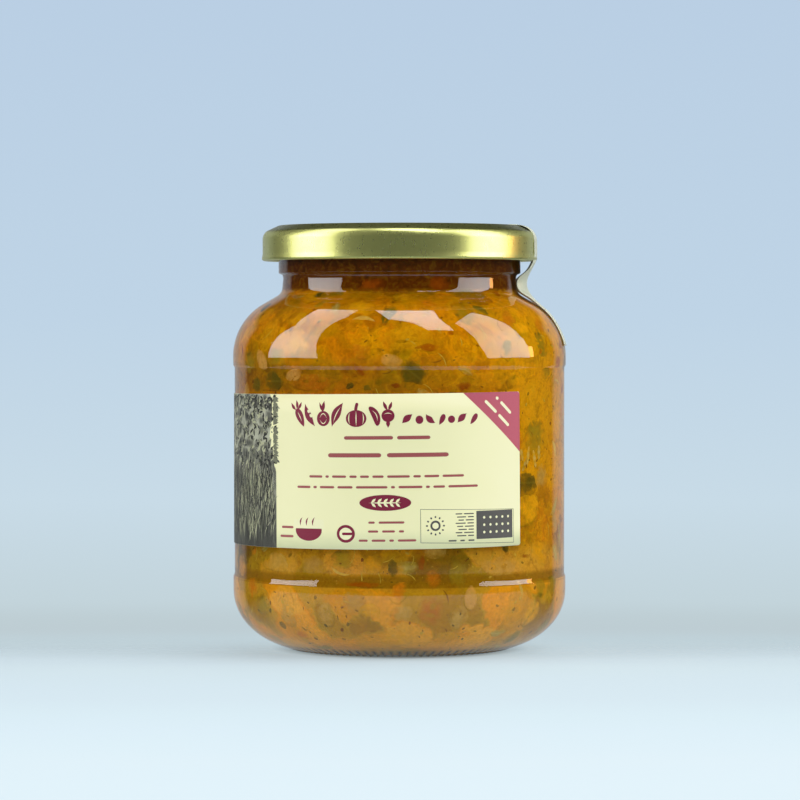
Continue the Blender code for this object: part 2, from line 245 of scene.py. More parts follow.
class Finish:
    """A material's nodes, or a world's, with one method that adds any node."""

    def __init__(self, name, kind="Material"):
        self.material = getattr(bpy.data, kind.lower() + "s").new(name)
        self.material.use_nodes = True
        self.nodes = self.material.node_tree.nodes
        self.nodes.clear()
        self.surface = self.nodes.new("ShaderNodeOutput" + kind).inputs["Surface"]

    def node(self, kind, settings=None, inputs=None, output=0):
        """Adds a node, sets its settings, then its sockets from values or wires. Gives one output's wire."""
        made = self.nodes.new("ShaderNode" + kind)
        for key, value in (settings or {}).items():
            if key == "stops":
                self.set_stops(made.color_ramp, value)
            else:
                setattr(made, key, value)
        for key, value in (inputs or {}).items():
            if isinstance(value, Wire):
                self.material.node_tree.links.new(value.socket, made.inputs[key])
            else:
                made.inputs[key].default_value = value
        return Wire(self, made.outputs[output])

    def set_stops(self, ramp, stops):
        while len(ramp.elements) < len(stops):
            ramp.elements.new(1.0)
        for element, (position, colour) in zip(ramp.elements, stops):
            element.position = position
            element.color = (*colour, 1.0)

    def place(self, shift=(0, 0, 0), stretch=(1, 1, 1)):
        """Object coordinates through a Mapping."""
        spot = self.node("TexCoord", output="Object")
        return self.node("Mapping", {}, {"Vector": spot, "Location": shift, "Scale": stretch})

    def attribute(self, name):
        return self.node("Attribute", {"attribute_name": name}, output="Fac")

    def noise(self, place, size, detail=2.0, rough=0.5, output="Fac"):
        """Noise whose features are about size across."""
        inputs = {"Vector": place, "Scale": 1 / size, "Detail": detail, "Roughness": rough}
        return self.node("TexNoise", {}, inputs, output)

    def cells(self, place, size, smooth, output="Distance"):
        """Voronoi cells about size across, run together by smooth."""
        inputs = {"Vector": place, "Scale": 1 / size, "Smoothness": smooth}
        return self.node("TexVoronoi", {"feature": "SMOOTH_F1"}, inputs, output)

    def blend(self, share, first, second, how="MIX"):
        """Two colours mixed by share."""
        first, second = (c if isinstance(c, Wire) else (*c, 1.0) for c in (first, second))
        settings = {"data_type": "RGBA", "blend_type": how}
        return self.node("Mix", settings, {0: share, 6: first, 7: second}, output=2)

    def ramp(self, share, stops):
        return self.node("ValToRGB", {"stops": stops}, {"Fac": share})

    def moved(self, place, by, reach):
        """A place pushed about by a colour, up to reach each way."""
        centred = self.node("VectorMath", {"operation": "SUBTRACT"}, {0: by, 1: (0.5, 0.5, 0.5)})
        pushed = self.node("VectorMath", {"operation": "SCALE"}, {0: centred, "Scale": 2 * reach})
        return self.node("VectorMath", {"operation": "ADD"}, {0: place, 1: pushed})

    def part(self, vector, axis):
        return self.node("SeparateXYZ", {}, {0: vector}, output=axis)

    def bump(self, height, distance):
        return self.node("Bump", {}, {"Height": height, "Distance": distance}, "Normal")

    def shader(self, **inputs):
        """A Principled shader; a socket's name is written with _ for a space."""
        inputs = {key.replace("_", " "): value for key, value in inputs.items()}
        return self.node("BsdfPrincipled", {}, inputs)

    def show(self, shader):
        self.material.node_tree.links.new(shader.socket, self.surface)
        return self.material


# Camera, seen from the photograph's height and distance

PICTURE = 800  # the picture's width and height in pixels
PIXEL = 0.24 * MM  # a pixel's size on the jar's axis
FOCAL_PIXELS, DOWN_PIXELS, ASIDE_PIXELS = 3600, 80, 0.5  # focal length, tilt downwards and step to the right
EYE_HEIGHT = 78.6 * MM
FILM = 36.0  # the sensor's width in millimetres


def add_camera():
    """A camera in front of the jar, a little below its lid, that looks down by a degree or so."""
    lens = bpy.data.cameras.new("camera")
    lens.sensor_width = FILM
    lens.lens = FILM * FOCAL_PIXELS / PICTURE
    lens.clip_start, lens.clip_end = 0.05, 60.0
    eye = bpy.data.objects.new("camera", lens)
    eye.location = (ASIDE_PIXELS * PIXEL, -FOCAL_PIXELS * PIXEL, EYE_HEIGHT)
    eye.rotation_euler = (math.pi / 2 - math.atan(DOWN_PIXELS / FOCAL_PIXELS), 0, 0)
    bpy.context.scene.collection.objects.link(eye)
    bpy.context.scene.camera = eye


add_camera()


# Light: soft lamps round the jar, glowing cloths for its gloss to mirror, a pale sweep and a pale floor

REACH = 1.3  # how far off the lamps and cloths stand, in metres


def add_lamp(name, centre, across, up, radiance):
    """A white rectangular lamp whose sides are the vectors across and up, shining along up x across. It
    lights only what is matt: the gloss mirrors the cloths, so that light and mirror image are set apart."""
    across, up = (np.array(v, float) * REACH for v in (across, up))
    width, height = np.linalg.norm(across), np.linalg.norm(up)
    lamp = bpy.data.lights.new(name, "AREA")
    lamp.shape = "RECTANGLE"
    lamp.size, lamp.size_y = width, height
    lamp.energy = radiance * math.pi * width * height
    turn = np.eye(4)
    turn[:3, 0], turn[:3, 1] = across / width, up / height
    turn[:3, 2] = np.cross(turn[:3, 0], turn[:3, 1])
    turn[:3, 3] = np.array(centre, float) * REACH
    made = bpy.data.objects.new(name, lamp)
    bpy.context.scene.collection.objects.link(made)
    made.matrix_world = Matrix(turn.tolist())
    made.visible_camera, made.visible_glossy = False, False


LAMPS = {  # centre, across and up as shares of REACH, then radiance
    "left_soft": ((-1, -0.25, 0.98), (0, -0.9, 0), (0, 0, 1.82), 2.75),
    "right_soft": ((1, -0.20, 0.98), (0, 0.86, 0), (0, 0, 1.82), 3.0),
    "top_soft": ((0.23, -0.11, 1), (0.5, 0.08, 0), (-0.45, 1.25, 0), 3.4),
    "front_soft": ((0, -1.7, 0.5), (1.8, 0, 0), (0, 0.3, 0.9), 2.0),
}
for name, lamp in LAMPS.items():
    add_lamp(name, *lamp)


def add_cloth(name, pairs, middle, radiance, colour):
    """A glowing cloth seen only in what is glossy: a strip between two edges, given as pairs of points,
    brightest round its middle."""
    cloth = Finish(name)
    off = cloth.node("VectorMath", {"operation": "DISTANCE"}, {0: cloth.place(), 1: middle}, output="Value")
    strength = radiance * (0.84 + 0.34 * off.step(0.9, 0.1))
    glow = cloth.node("Emission", {}, {"Color": (*colour, 1.0), "Strength": strength})
    points = np.array(pairs, float).reshape(-1, 3) * REACH
    made = add_mesh(name, points, [grid_faces(len(pairs), 2)], cloth.show(glow), smooth=False)
    made.visible_camera, made.visible_diffuse, made.visible_shadow = False, False, False


WHITE, WARM_WHITE = (1.0, 1.0, 1.0), (1.0, 0.97, 0.93)
CLOTHS = {  # pairs of points, one of each edge, as shares of REACH, then middle, radiance and colour
    "left_cloth": ([
        ((-1, 0.19, 0.05), (-1, -0.66, 0.05)), ((-1, 0.17, 0.95), (-1, -0.46, 1.0)),
        ((-0.85, 0.51, 1.37), (-0.7, -0.09, 1.76)), ((-0.40, 0.85, 1.33), (-0.36, 0.28, 1.49)),
    ], (-1.3, -0.3, 0.5), 5.5, WARM_WHITE),
    "right_cloth": ([
        ((1, 0.17, 0.05), (1, -0.55, 0.05)), ((1, 0.17, 0.56), (1, -0.62, 0.42)),
        ((1, 0.31, 1.19), (1, -0.62, 1.03)), ((0.85, 0.50, 1.82), (0.85, -0.46, 1.61)),
    ], (1.3, -0.2, 0.5), 5.5, WARM_WHITE),
    "top_cloth": ([
        ((0.672, -0.611, 1), (0.336, -0.712, 1)), ((0.42, -0.33, 1), (0.10, -0.39, 1)),
        ((0.31, -0.18, 1), (-0.10, -0.25, 1)), ((0.20, 0.11, 1), (-0.145, 0.141, 1)),
        ((0.08, 0.3, 1), (-0.1, 0.3, 1)),
    ], (0.3, -0.3, 1.3), 6.6, WHITE),
    "warm_cloth": ([
        ((0.99, 0.245, 0.06), (0.99, 0.165, 0.06)), ((0.99, 0.245, 0.27), (0.99, 0.165, 0.27)),
    ], (1.29, 0.28, 0.2), 15.0, (1.0, 0.42, 0.12)),
}
for name, cloth in CLOTHS.items():
    add_cloth(name, *cloth)


def add_world():
    """The camera sees a pale blue sweep, shaded by height alone. Other rays meet a pale backdrop behind the
    jar, a dim studio round it and a pale floor below."""
    studio = Finish("studio", "World")
    way = studio.node("TexCoord", output="Generated")
    x, y, z = (studio.part(way, axis) for axis in range(3))
    climb = studio.node("MapRange", {}, {"Value": z, "From Min": -0.135, "From Max": 0.085})
    seen = studio.ramp(climb, SWEEP)
    behind = (y / ((x * x + y * y) ** 0.5 + 0.0001)).step(0.66, 0.76) * z.step(0.42, 0.30)
    dim = studio.blend(z.step(0.01, 0.10), (0.05, 0.05, 0.05), (0.02, 0.02, 0.02))
    lit = studio.blend(behind, dim, (0.42, 0.46, 0.50))
    lit = studio.blend(z.step(-0.45, -0.60), lit, (0.62, 0.74, 0.80))
    colour = studio.blend(studio.node("LightPath", output="Is Camera Ray"), lit, seen)
    bpy.context.scene.world = studio.show(studio.node("Background", {}, {"Color": colour, "Strength": 1.0}))


SWEEP = [  # the sweep's colours by height, from the floor up
    (0.038, (0.768, 0.95, 1.10)),
    (0.186, (0.64, 0.76, 0.82)),
    (0.198, (0.577, 0.694, 0.752)),
    (0.211, (0.53, 0.645, 0.695)),
    (0.225, (0.515, 0.61, 0.651)),
    (0.2405, (0.52, 0.62, 0.66)),
    (0.26, (0.546, 0.658, 0.708)),
    (0.386, (0.578, 0.708, 0.799)),
    (0.62, (0.521, 0.658, 0.791)),
    (1.0, (0.491, 0.624, 0.776)),
]
add_world()


FLOOR = [  # the floor's colours with painted shading, darker towards the back, by how far it lies behind the jar's axis, from 0.28 in front to 0.02 behind
    (0.033, (0.757, 0.933, 1.15)),
    (0.178, (0.752, 0.917, 1.11)),
    (0.343, (0.726, 0.881, 1.06)),
    (0.435, (0.709, 0.864, 0.988)),
    (0.535, (0.686, 0.822, 0.927)),
    (0.764, (0.657, 0.784, 0.859)),
    (0.827, (0.641, 0.766, 0.835)),
    (0.894, (0.592, 0.711, 0.776)),
    (0.947, (0.549, 0.664, 0.716)),
]


def add_floor():
    """A wide flat disc that the jar stands on, pale and lit a little from below like a light table: a painted
    glow that softens the shadows on it, left out under the jar so that painted shade lies there. Its colour
    is painted darker towards the back, as shade. It fades into the sweep."""
    floor = Finish("floor")
    spot = floor.node("TexCoord", output="Object")
    x, y = (floor.part(spot, axis) for axis in range(2))
    away = (x * x + y * y) ** 0.5
    fade = (1 - y.step(-0.035, 0.030)) * away.step(0.40, 0.22)
    # Painted shade: the floor darkens towards the back.
    shade = floor.ramp((y + 0.28) / 0.30, FLOOR)
    half = floor.blend(1.0, shade, (0.42, 0.42, 0.42), "MULTIPLY")
    # Painted light: the glow lifts the floor's shadows, and stops short of the jar's foot to leave painted
    # shade under it.
    glow = floor.node("Emission", {}, {"Color": shade, "Strength": 0.5 * away.step(0.024, 0.032)})
    surface = floor.node("AddShader", {}, {0: floor.node("BsdfDiffuse", {}, {"Color": half}), 1: glow})
    clear = floor.node("BsdfTransparent")
    finish = floor.show(floor.node("MixShader", {}, {0: fade, 1: clear, 2: surface}))
    disc = turned("floor", [(1.2, 0.0), (0.4, 0.0), (0.1, 0.0), (0.0, 0.0)], 96, finish, first_pole=False)


add_floor()
scene = bpy.context.scene
scene.view_settings.view_transform = "Standard"
scene.view_settings.look = "None"


def set_highlights():
    """Bright shades are eased off as a camera does: straight up to 0.8, then a curve that nears 1 by 3."""
    view = scene.view_settings
    view.use_curve_mapping = True
    curves = view.curve_mapping
    knee, full = 0.8, 3.0
    curves.white_level = (full, full, full)
    line = curves.curves[3]
    for value in (knee, 0.9, 1.0, 1.15, 1.35, 1.6, 2.0):
        eased = knee + (1 - knee) * (1 - math.exp(-(value - knee) / (1 - knee)))
        line.points.new(value / full, eased)
    line.points[0].location = (0.0, 0.0)
    line.points[-1].location = (1.0, 1.0)
    for point in line.points:
        point.handle_type = "VECTOR"
    curves.update()


set_highlights()


# Glass

TICKS = 96  # little bars of the stippled ring
SAG = 0.01 * MM  # how far its rows may cut the true line


def glass_finish():
    """Clear glass, with painted contact shadow on the bars of its foot. Light of lamps and between matt
    things passes it unbent.
    """
    glass = Finish("clear_glass")
    place = glass.place()
    x, y, high = (glass.part(place, axis) for axis in range(3))
    bars = (x.maths("ARCTAN2", x, y) * TICKS).maths("COSINE") * 0.5 + 0.5
    # Painted shade: a dark contact shadow on the ring's bars, where they stand on the floor.
    foot = high.step(0.0022, 0.0014) * ((x * x + y * y) ** 0.5).step(0.0235, 0.0240) * (0.1 + 0.9 * bars)
    tone = glass.blend(foot, (0.97, 0.99, 0.98), (0.015, 0.012, 0.004))
    clear = glass.shader(Base_Color=tone, Roughness=0.0, IOR=1.5, Transmission_Weight=1.0)
    through = glass.node("BsdfTransparent", {}, {"Color": (0.95, 0.97, 0.96, 1.0)})
    for path in ("Is Diffuse Ray", "Is Shadow Ray"):
        clear = glass.node("MixShader", {}, {0: glass.node("LightPath", output=path), 1: clear, 2: through})
    return glass.show(clear)


def outer_path():
    """The jar's outside from the rim down to the underside's middle, as (radius, height)."""
    heel_end = (RING_RADIUS + 0.7 * MM, 0.2 * MM)
    fillet = (NECK_RADIUS + NECK_FILLET, NECK_FOOT)
    reach = 7.5 * MM
    handles = (HEEL_RADIUS, HEEL_TOP - reach), lengthened(heel_end, reach, 12)
    heel = bezier((HEEL_RADIUS, HEEL_TOP), *handles, heel_end, 40)
    upper = [
        (FINISH_RADIUS, RIM_HEIGHT - 0.9 * MM),
        (FINISH_RADIUS, BEAD_TOP + 1.1 * MM),
        (BEAD_RADIUS, BEAD_TOP),
        (BEAD_RADIUS, BEAD_FOOT + 0.1 * MM),
        (NECK_RADIUS, BEAD_FOOT - 0.15 * MM),
        (NECK_RADIUS - 0.20 * MM, BEAD_FOOT - 0.9 * MM),
    ]
    path = np.vstack([
        along_path(upper, 0.25 * MM),
        arc(fillet, NECK_FILLET, 185, 180 + SHOULDER_END, 24),
        arc(SHOULDER_CENTRE, SHOULDER_RADIUS, SHOULDER_END, 0, 60)[1:],
        along_path([BULGE_FOOT, (PANEL_RADIUS, PANEL_TOP)], 0.12 * MM),
        along_path([(PANEL_RADIUS, PANEL_TOP - 0.3 * MM), (PANEL_RADIUS, PANEL_FOOT)], 0.3 * MM),
        along_path([(HEEL_RADIUS, PANEL_FOOT - 0.6 * MM), (HEEL_RADIUS, HEEL_TOP)], 0.3 * MM),
        heel[1:],
    ])
    foot = [
        (RING_RADIUS, 0.0),
        (RING_RADIUS - RING_WIDTH, 0.0),
        (RING_RADIUS - RING_WIDTH - 1.6 * MM, 1.5 * MM),
        (0.0, PUNT_RISE),
    ]
    return np.vstack([thinned(softened(along_path(path, 0.13 * MM), 4), SAG), along_path(foot, 0.35 * MM)])


def inner_path():
    """The jar's inside from the middle of its floor up to the rim's bore, as (radius, height)."""
    wall_radius, side_foot = PANEL_RADIUS - WALL, FLOOR_EDGE + INNER_HEEL + 1 * MM
    fillet = (NECK_RADIUS + NECK_FILLET, NECK_FOOT)
    path = np.vstack([
        along_path([(0.0, FLOOR_MIDDLE), (0.55 * wall_radius, FLOOR_EDGE + 0.7 * MM)], 0.5 * MM),
        arc((wall_radius - INNER_HEEL, FLOOR_EDGE + INNER_HEEL), INNER_HEEL, -90, 0, 30),
        along_path([(wall_radius, side_foot), (wall_radius, PANEL_TOP - WALL)], 0.5 * MM),
        arc(SHOULDER_CENTRE, SHOULDER_RADIUS - WALL, 0, SHOULDER_END, 30),
        arc(fillet, NECK_FILLET + WALL, 180 + SHOULDER_END, 180, 20)[1:],
        along_path([(NECK_RADIUS - WALL, NECK_FOOT + 0.3 * MM), (RIM_BORE, RIM_HEIGHT - 0.9 * MM)], 0.5 * MM),
    ])
    return softened(along_path(path, 0.4 * MM), 14)


def wavy(radius, angle, height):
    """Moulded glass is never quite true: the outside swells and sinks by hundredths of a millimetre. Its ring
    has short bars that the jar stands on, and between them it lifts in a rounded wave."""
    swell = np.sin(3 * angle + 0.9 + 60 * height) * np.sin(170 * height + 1.3)
    swell += 0.7 * np.sin(7 * angle + 2.1 - 110 * height) * np.sin(95 * height + 0.4)
    depth = radius - PANEL_RADIUS + 1.2 * MM + 0.6 * np.clip(height - 0.070, 0, 1)
    outside = 1 / (1 + np.exp(-depth / (0.3 * MM)))
    radius = radius + 0.016 * MM * swell * outside
    wave = 0.5 - 0.5 * np.cos(TICKS * angle)
    ring = np.exp(-(((radius - RING_RADIUS + 0.3 * RING_WIDTH) / (2.0 * MM)) ** 4)) * (height < 1.2 * MM)
    knob = np.exp(-(((radius - RING_RADIUS - 0.2 * MM) / (1.1 * MM)) ** 4)) * (height < 1.4 * MM)
    return radius + 0.45 * MM * knob * (1 - wave), height + 0.75 * MM * ring * wave**0.7


jar_path = np.vstack([
    thinned(inner_path(), SAG),
    arc((RIM_BORE + RIM_ROUND, RIM_HEIGHT - RIM_ROUND), RIM_ROUND, 180, 90, 6)[1:],
    arc((FINISH_RADIUS - RIM_ROUND, RIM_HEIGHT - RIM_ROUND), RIM_ROUND, 90, 0, 6)[:-1],
    outer_path(),
])
jar = turned("jar_glass", jar_path[::-1], TICKS * 4, glass_finish(), wavy)
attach(jar, "root")
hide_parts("jar")


# Lid


def lid_finish():
    """Pale gold lacquer over tinplate: soft mottling, a faint upright grain, and a painted dark reflection on
    the sloping edge.
    """
    gold = Finish("gold_lacquer")
    place = gold.place()
    mottle = gold.noise(place, 1.6 * MM, 4.0, 0.6)
    grain = gold.noise(gold.place(stretch=(1, 1, 0.08)), 0.5 * MM, 2.0)
    colour = gold.blend(mottle, (0.52, 0.54, 0.185), (0.45, 0.47, 0.155))
    x, y, high = (gold.part(place, axis) for axis in range(3))
    # Painted reflection: the sloping edge's colour is darkened to stand in for the dark it mirrors.
    slope = high.step(0.0994, 0.0999) * ((x * x + y * y) ** 0.5).step(0.0286, 0.0291)
    colour = gold.blend(slope * 0.75, colour, (0.05, 0.055, 0.015))
    rough = 0.22 + 0.08 * mottle + 0.05 * grain
    normal = gold.bump(grain, 0.004 * MM)
    return gold.show(gold.shader(Base_Color=colour, Metallic=0.79, Roughness=rough, Normal=normal))


def lid_path():
    """The lid's section: recessed top with its button, the stepped edge, skirt, curl and the underside."""
    panel, button, groove, step = LID_PANEL, LID_PANEL - 0.30 * MM, LID_PANEL - 0.12 * MM, 0.08 * MM
    slope = np.array([(29.1, 101.12), (31.75, 99.88), (31.95, 99.72)]) * MM
    edge = np.array([(32.1, 99.60), (32.4, 99.25), (32.6, 98.86), (32.74, 98.45), (32.8, 98.1)]) * MM
    outside = np.vstack([
        [(0.0, button), (11.6 * MM, button)],
        bezier((11.6 * MM, button), (12.6 * MM, button), (12.6 * MM, panel), (13.7 * MM, panel), 8)[1:],
        [(20.5 * MM, panel), (21.1 * MM, groove), (21.9 * MM, groove), (22.5 * MM, panel)],
        bezier((27.0 * MM, panel), (27.9 * MM, panel), (27.6 * MM, LID_TOP), (28.7 * MM, LID_TOP), 12),
        along_path(slope, step),
        along_path(edge, step),
        along_path([(LID_RADIUS, 97.9 * MM), (LID_RADIUS, LID_FOOT + 1.7 * MM)], 1.0 * MM),
        arc(CURL_CENTRE, CURL_RADIUS, 30, -200, 16),
    ])
    inner, under = LID_RADIUS - LID_SHEET, 99.45 * MM
    inside = np.array([
        (inner - 0.4 * MM, LID_FOOT + 1.4 * MM),
        (inner, LID_FOOT + 2.4 * MM),
        (inner, 98.6 * MM),
        (31.0 * MM, under),
        (0.0, under),
    ])
    return np.vstack([thinned(softened(along_path(outside, step), 2), 0.002 * MM), inside])


lid = turned("lid_shell", lid_path()[::-1], 240, lid_finish())
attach(lid, "root")
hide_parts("lid")


# Label


def label_spot(x, z, lift=0.0):
    """Where a point of the flat label lies: x runs round the jar from its front, z up from its lower edge."""
    x = x - np.tan(LABEL_TILT) * (z - LABEL_HEIGHT / 2)
    height = LABEL_FOOT + np.tan(LABEL_TILT) * x + z
    return on_round(LABEL_RADIUS + lift, np.degrees(x / LABEL_RADIUS), height)


def paper_finish():
    """Coated cream paper: faint cloudiness and fibres, with a light gloss."""
    paper = Finish("cream_paper")
    place = paper.place()
    cloud = paper.noise(place, 9 * MM, 3.0)
    fibre = paper.noise(place, 0.25 * MM, 2.0)
    shade = paper.blend(cloud, (0.90, 0.865, 0.49), (0.92, 0.885, 0.52))
    normal = paper.bump(fibre, 0.012 * MM)
    return paper.show(paper.shader(Base_Color=shade, Roughness=0.5, Normal=normal, Specular_IOR_Level=0.15))


def add_label():
    """The paper as a grid; near its ends the height shrinks along a quarter circle, to round the corners."""
    right, left = (math.radians(a) * LABEL_RADIUS for a in (LABEL_RIGHT, LABEL_LEFT))
    corner = CORNER_ROUND
    ends = corner * (1 - np.cos(np.linspace(0, math.pi / 2, 7)))
    middle = np.arange(left + corner, right - corner, 0.7 * MM)
    x = np.concatenate([left + ends[:-1], middle, right - ends[::-1]])
    near = np.minimum(x - left, right - x)
    cut = np.where(near < corner, corner - np.sqrt(np.clip(corner**2 - (corner - near) ** 2, 0, None)), 0)
    share = np.linspace(0, 1, 9)[:, None]
    z = cut + (LABEL_HEIGHT - 2 * cut) * share
    points = label_spot(np.broadcast_to(x, z.shape), z).reshape(-1, 3)
    made = add_mesh("label_paper", points, [grid_faces(*z.shape)], paper_finish())
    wall = made.modifiers.new("Thickness", "SOLIDIFY")
    wall.thickness, wall.offset = 0.11 * MM, -1.0
    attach(made, "root")
    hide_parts("label")


add_label()


# Label print

CREAM = (0.90, 0.87, 0.50)
INKS = {  # each ink's shade, and the one that it drifts to
    "maroon": ((0.205, 0.019, 0.045), (0.23, 0.024, 0.05)),
    "rose": ((0.485, 0.102, 0.141), (0.45, 0.09, 0.13)),
    "brick": ((0.33, 0.085, 0.085), (0.37, 0.10, 0.095)),
    "grey": ((0.080, 0.076, 0.070), (0.10, 0.096, 0.088)),
    "cream": (CREAM, (0.92, 0.89, 0.58)),
}
LABEL_EDGE = math.radians(LABEL_RIGHT) * LABEL_RADIUS
ROSE_LEFT, ROSE_FOOT, ROSE_TOP = 15.2, 21.75, 35.7  # the rose corner's ends on the label, in millimetres
OVAL_HEIGHT = 10.72  # the oval's middle, in millimetres
STRIP_LEFT, STRIP_RIGHT = math.radians(-120) * LABEL_RADIUS, -32.1 * MM  # the ends of the printed landscape
HALF_WIDTHS = {  # a printed shape's half-width from 0 to 1 by its share of length s and its end distance d
    "bar": lambda s, d: np.sqrt(np.clip(1 - (1 - np.minimum(d, 1)) ** 2, 0, 1)),
    "oval": lambda s, d: np.sqrt(np.clip(1 - (2 * s - 1) ** 2, 0, 1)),
    "leaf": lambda s, d: np.sin(math.pi * s) ** 1.3,
    "drop": lambda s, d: 2.49 * s**0.5 * (1 - s) ** 0.9,
    "flat": lambda s, d: np.ones_like(s),
}


def flat_finish(name, colour, other):
    """Printing ink with a faint unevenness."""
    ink = Finish(name)
    shade = ink.blend(ink.noise(ink.place(), 0.5 * MM, 2.0), colour, other)
    return ink.show(ink.shader(Base_Color=shade, Roughness=0.45, Specular_IOR_Level=0.15))


def add_print(name, shapes, finish, lift, steps=17, wide=5):
    """Flat shapes along bowed lines: a point is start + s (end - start) + 4 s (1 - s) bow across, then out to
    the half-width of its form. Each row holds form, x and z of both ends, half-width and bow, in millimetres.
    lift is how far over the paper they lie, each a hair above the one before."""
    across = np.linspace(-1, 1, wide)[:, None]
    s = 0.5 - 0.5 * np.cos(math.pi * np.linspace(0, 1, steps))
    points = []
    for number, (form, x0, z0, x1, z1, half, bow) in enumerate(shapes):
        chord = np.array([x1 - x0, z1 - z0])
        length = np.hypot(*chord)
        side = np.array([-chord[1], chord[0]]) / length
        line = np.array([x0, z0]) + s[:, None] * chord + (4 * s * (1 - s) * bow)[:, None] * side
        along = np.gradient(line, axis=0)
        side = np.column_stack([-along[:, 1], along[:, 0]]) / np.hypot(*along.T)[:, None]
        width = half * HALF_WIDTHS[form](s, np.minimum(s, 1 - s) * length / half)
        flat = (line + across[..., None] * (width[:, None] * side)) * MM
        points.append(label_spot(flat[..., 0], flat[..., 1], lift + 0.0015 * MM * number / len(shapes)))
    faces = np.concatenate([grid_faces(wide, steps) + wide * steps * k for k in range(len(points))])
    made = add_mesh(name, np.reshape(points, (-1, 3)), [faces], finish)
    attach(made, "root")


def words(x0, x1, z, half, widths, gap=0.9):
    """A line of bars as long as words, their lengths in the given proportions."""
    scale = (x1 - x0 - gap * (len(widths) - 1)) / sum(widths)
    rows, x = [], x0
    for width in widths:
        rows.append(("bar", x, z, x + width * scale, z, half, 0.0))
        x += width * scale + gap
    return rows


TITLE = [  # a row of garden vegetables from the left: carrot, pod, onion, leaf, squash, bean and turnip
    ("drop", -25.4, 32.3, -23.3, 28.2, 1.0, 0.1),
    ("leaf", -25.4, 32.0, -26.9, 33.8, 0.36, 0.2),
    ("leaf", -25.3, 32.1, -25.4, 34.4, 0.36, -0.2),
    ("leaf", -25.2, 32.1, -23.9, 34.0, 0.34, -0.2),
    ("leaf", -22.9, 33.6, -20.2, 28.3, 0.85, -0.5),
    ("oval", -19.7, 30.1, -16.4, 30.1, 1.75, 0.0),
    ("leaf", -18.1, 31.5, -17.7, 34.2, 0.42, 0.1),
    ("leaf", -18.0, 31.5, -19.0, 33.9, 0.3, 0.1),
    ("leaf", -15.9, 28.2, -13.0, 33.8, 1.05, 0.35),
    ("oval", -12.4, 30.1, -7.5, 30.1, 1.95, 0.0),
    ("bar", -10.0, 31.8, -9.6, 33.7, 0.36, 0.1),
    ("oval", -6.9, 32.7, -5.0, 28.4, 0.9, 0.65),
    ("oval", -4.0, 30.7, -1.0, 30.7, 1.45, 0.0),
    ("leaf", -2.5, 30.0, -2.5, 27.9, 0.45, 0.0),
    ("leaf", -2.5, 31.8, -3.6, 34.1, 0.36, 0.1),
    ("leaf", -2.5, 31.8, -1.6, 34.0, 0.36, -0.1),
]
TITLE_SMALL = [  # smaller leaves and berries to the right of it
    ("leaf", 0.7, 28.9, 3.1, 31.0, 0.75, 0.1),
    ("oval", 3.8, 29.7, 5.6, 29.7, 0.95, 0.0),
    ("leaf", 6.2, 31.0, 8.4, 28.9, 0.7, -0.3),
    ("drop", 10.5, 30.9, 9.3, 28.5, 0.6, 0.1),
    ("oval", 11.4, 29.7, 13.1, 29.7, 0.85, 0.0),
    ("leaf", 13.7, 28.9, 16.0, 31.0, 0.75, 0.1),
    ("drop", 18.6, 30.9, 16.9, 28.5, 0.6, 0.1),
]
TITLE_CUTS = [  # pale lines let into the row's shapes
    ("leaf", -25.1, 31.7, -23.9, 29.4, 0.10, 0.1),
    ("oval", -22.2, 32.1, -21.7, 31.4, 0.3, 0.0),
    ("oval", -21.6, 31.1, -21.1, 30.4, 0.3, 0.0),
    ("leaf", -19.0, 30.1, -17.1, 30.1, 0.11, 1.15),
    ("leaf", -19.0, 30.1, -17.1, 30.1, 0.11, -1.15),
    ("leaf", -15.5, 29.0, -13.5, 32.9, 0.11, 0.3),
    ("leaf", -11.4, 28.7, -11.4, 31.5, 0.12, 0.32),
    ("leaf", -9.95, 28.3, -9.95, 31.9, 0.12, 0.0),
    ("leaf", -8.5, 28.7, -8.5, 31.5, 0.12, -0.32),
    ("leaf", -6.3, 32.0, -5.0, 29.4, 0.10, 0.5),
    ("leaf", -3.5, 31.0, -1.5, 31.0, 0.10, 0.3),
]
LINES = [  # lines of words: from x to x, height, half-width, proportions and gap, in millimetres
    (-12.9, 7.2, 25.65, 0.40, [9, 6]),
    (-16.9, 11.5, 21.65, 0.48, [8, 9], 1.3),
    (-21.9, 15.2, 16.75, 0.27, [4, 1, 4, 2, 2.4, 3, 6, 2, 4, 6], 0.8),
    (-25.3, 18.7, 14.3, 0.27, [4, 1, 4, 4, 8, 1, 6, 1, 3, 8], 0.8),
    (-30.2, -26.6, 4.9, 0.27, [1]),
    (-30.7, -26.6, 2.8, 0.27, [1]),
    (-7.3, 1.0, 6.2, 0.25, [2, 8]),
    (-7.4, 0.9, 4.15, 0.25, [4, 5, 2]),
    (-9.6, 3.7, 2.05, 0.25, [4, 6, 2, 8]),
]
# Fifteen more, on the panel at the back
LINES += [(-117.0, -97.0 - (k * 5) % 4, 31.5 - 1.7 * k, 0.26, [5, 3, 7, 4, 6]) for k in range(15)]


def sprig_rows():
    """An ear of grain on the oval, and four bars that lie along the rose corner's slope."""
    rows = [("leaf", -7.3, OVAL_HEIGHT, 0.5, OVAL_HEIGHT, 0.18, 0.0)]
    for x in (-6.6, -5.2, -3.8, -2.4, -1.0):
        rows += [("leaf", x, OVAL_HEIGHT, x + 1.1, OVAL_HEIGHT + side, 0.28, 0.0) for side in (-1.0, 1.0)]
    along, off = np.array([0.748, -0.664]), np.array([0.664, 0.748])
    for start, end, out in [(7.2, 8.0, 4.9), (8.9, 13.0, 4.9), (5.4, 9.6, 2.3), (10.4, 14.4, 2.3)]:
        first, last = (np.array([ROSE_LEFT, ROSE_TOP]) + along * reach + off * out for reach in (start, end))
        rows.append(("bar", *first, *last, 0.36, 0.0))
    return rows


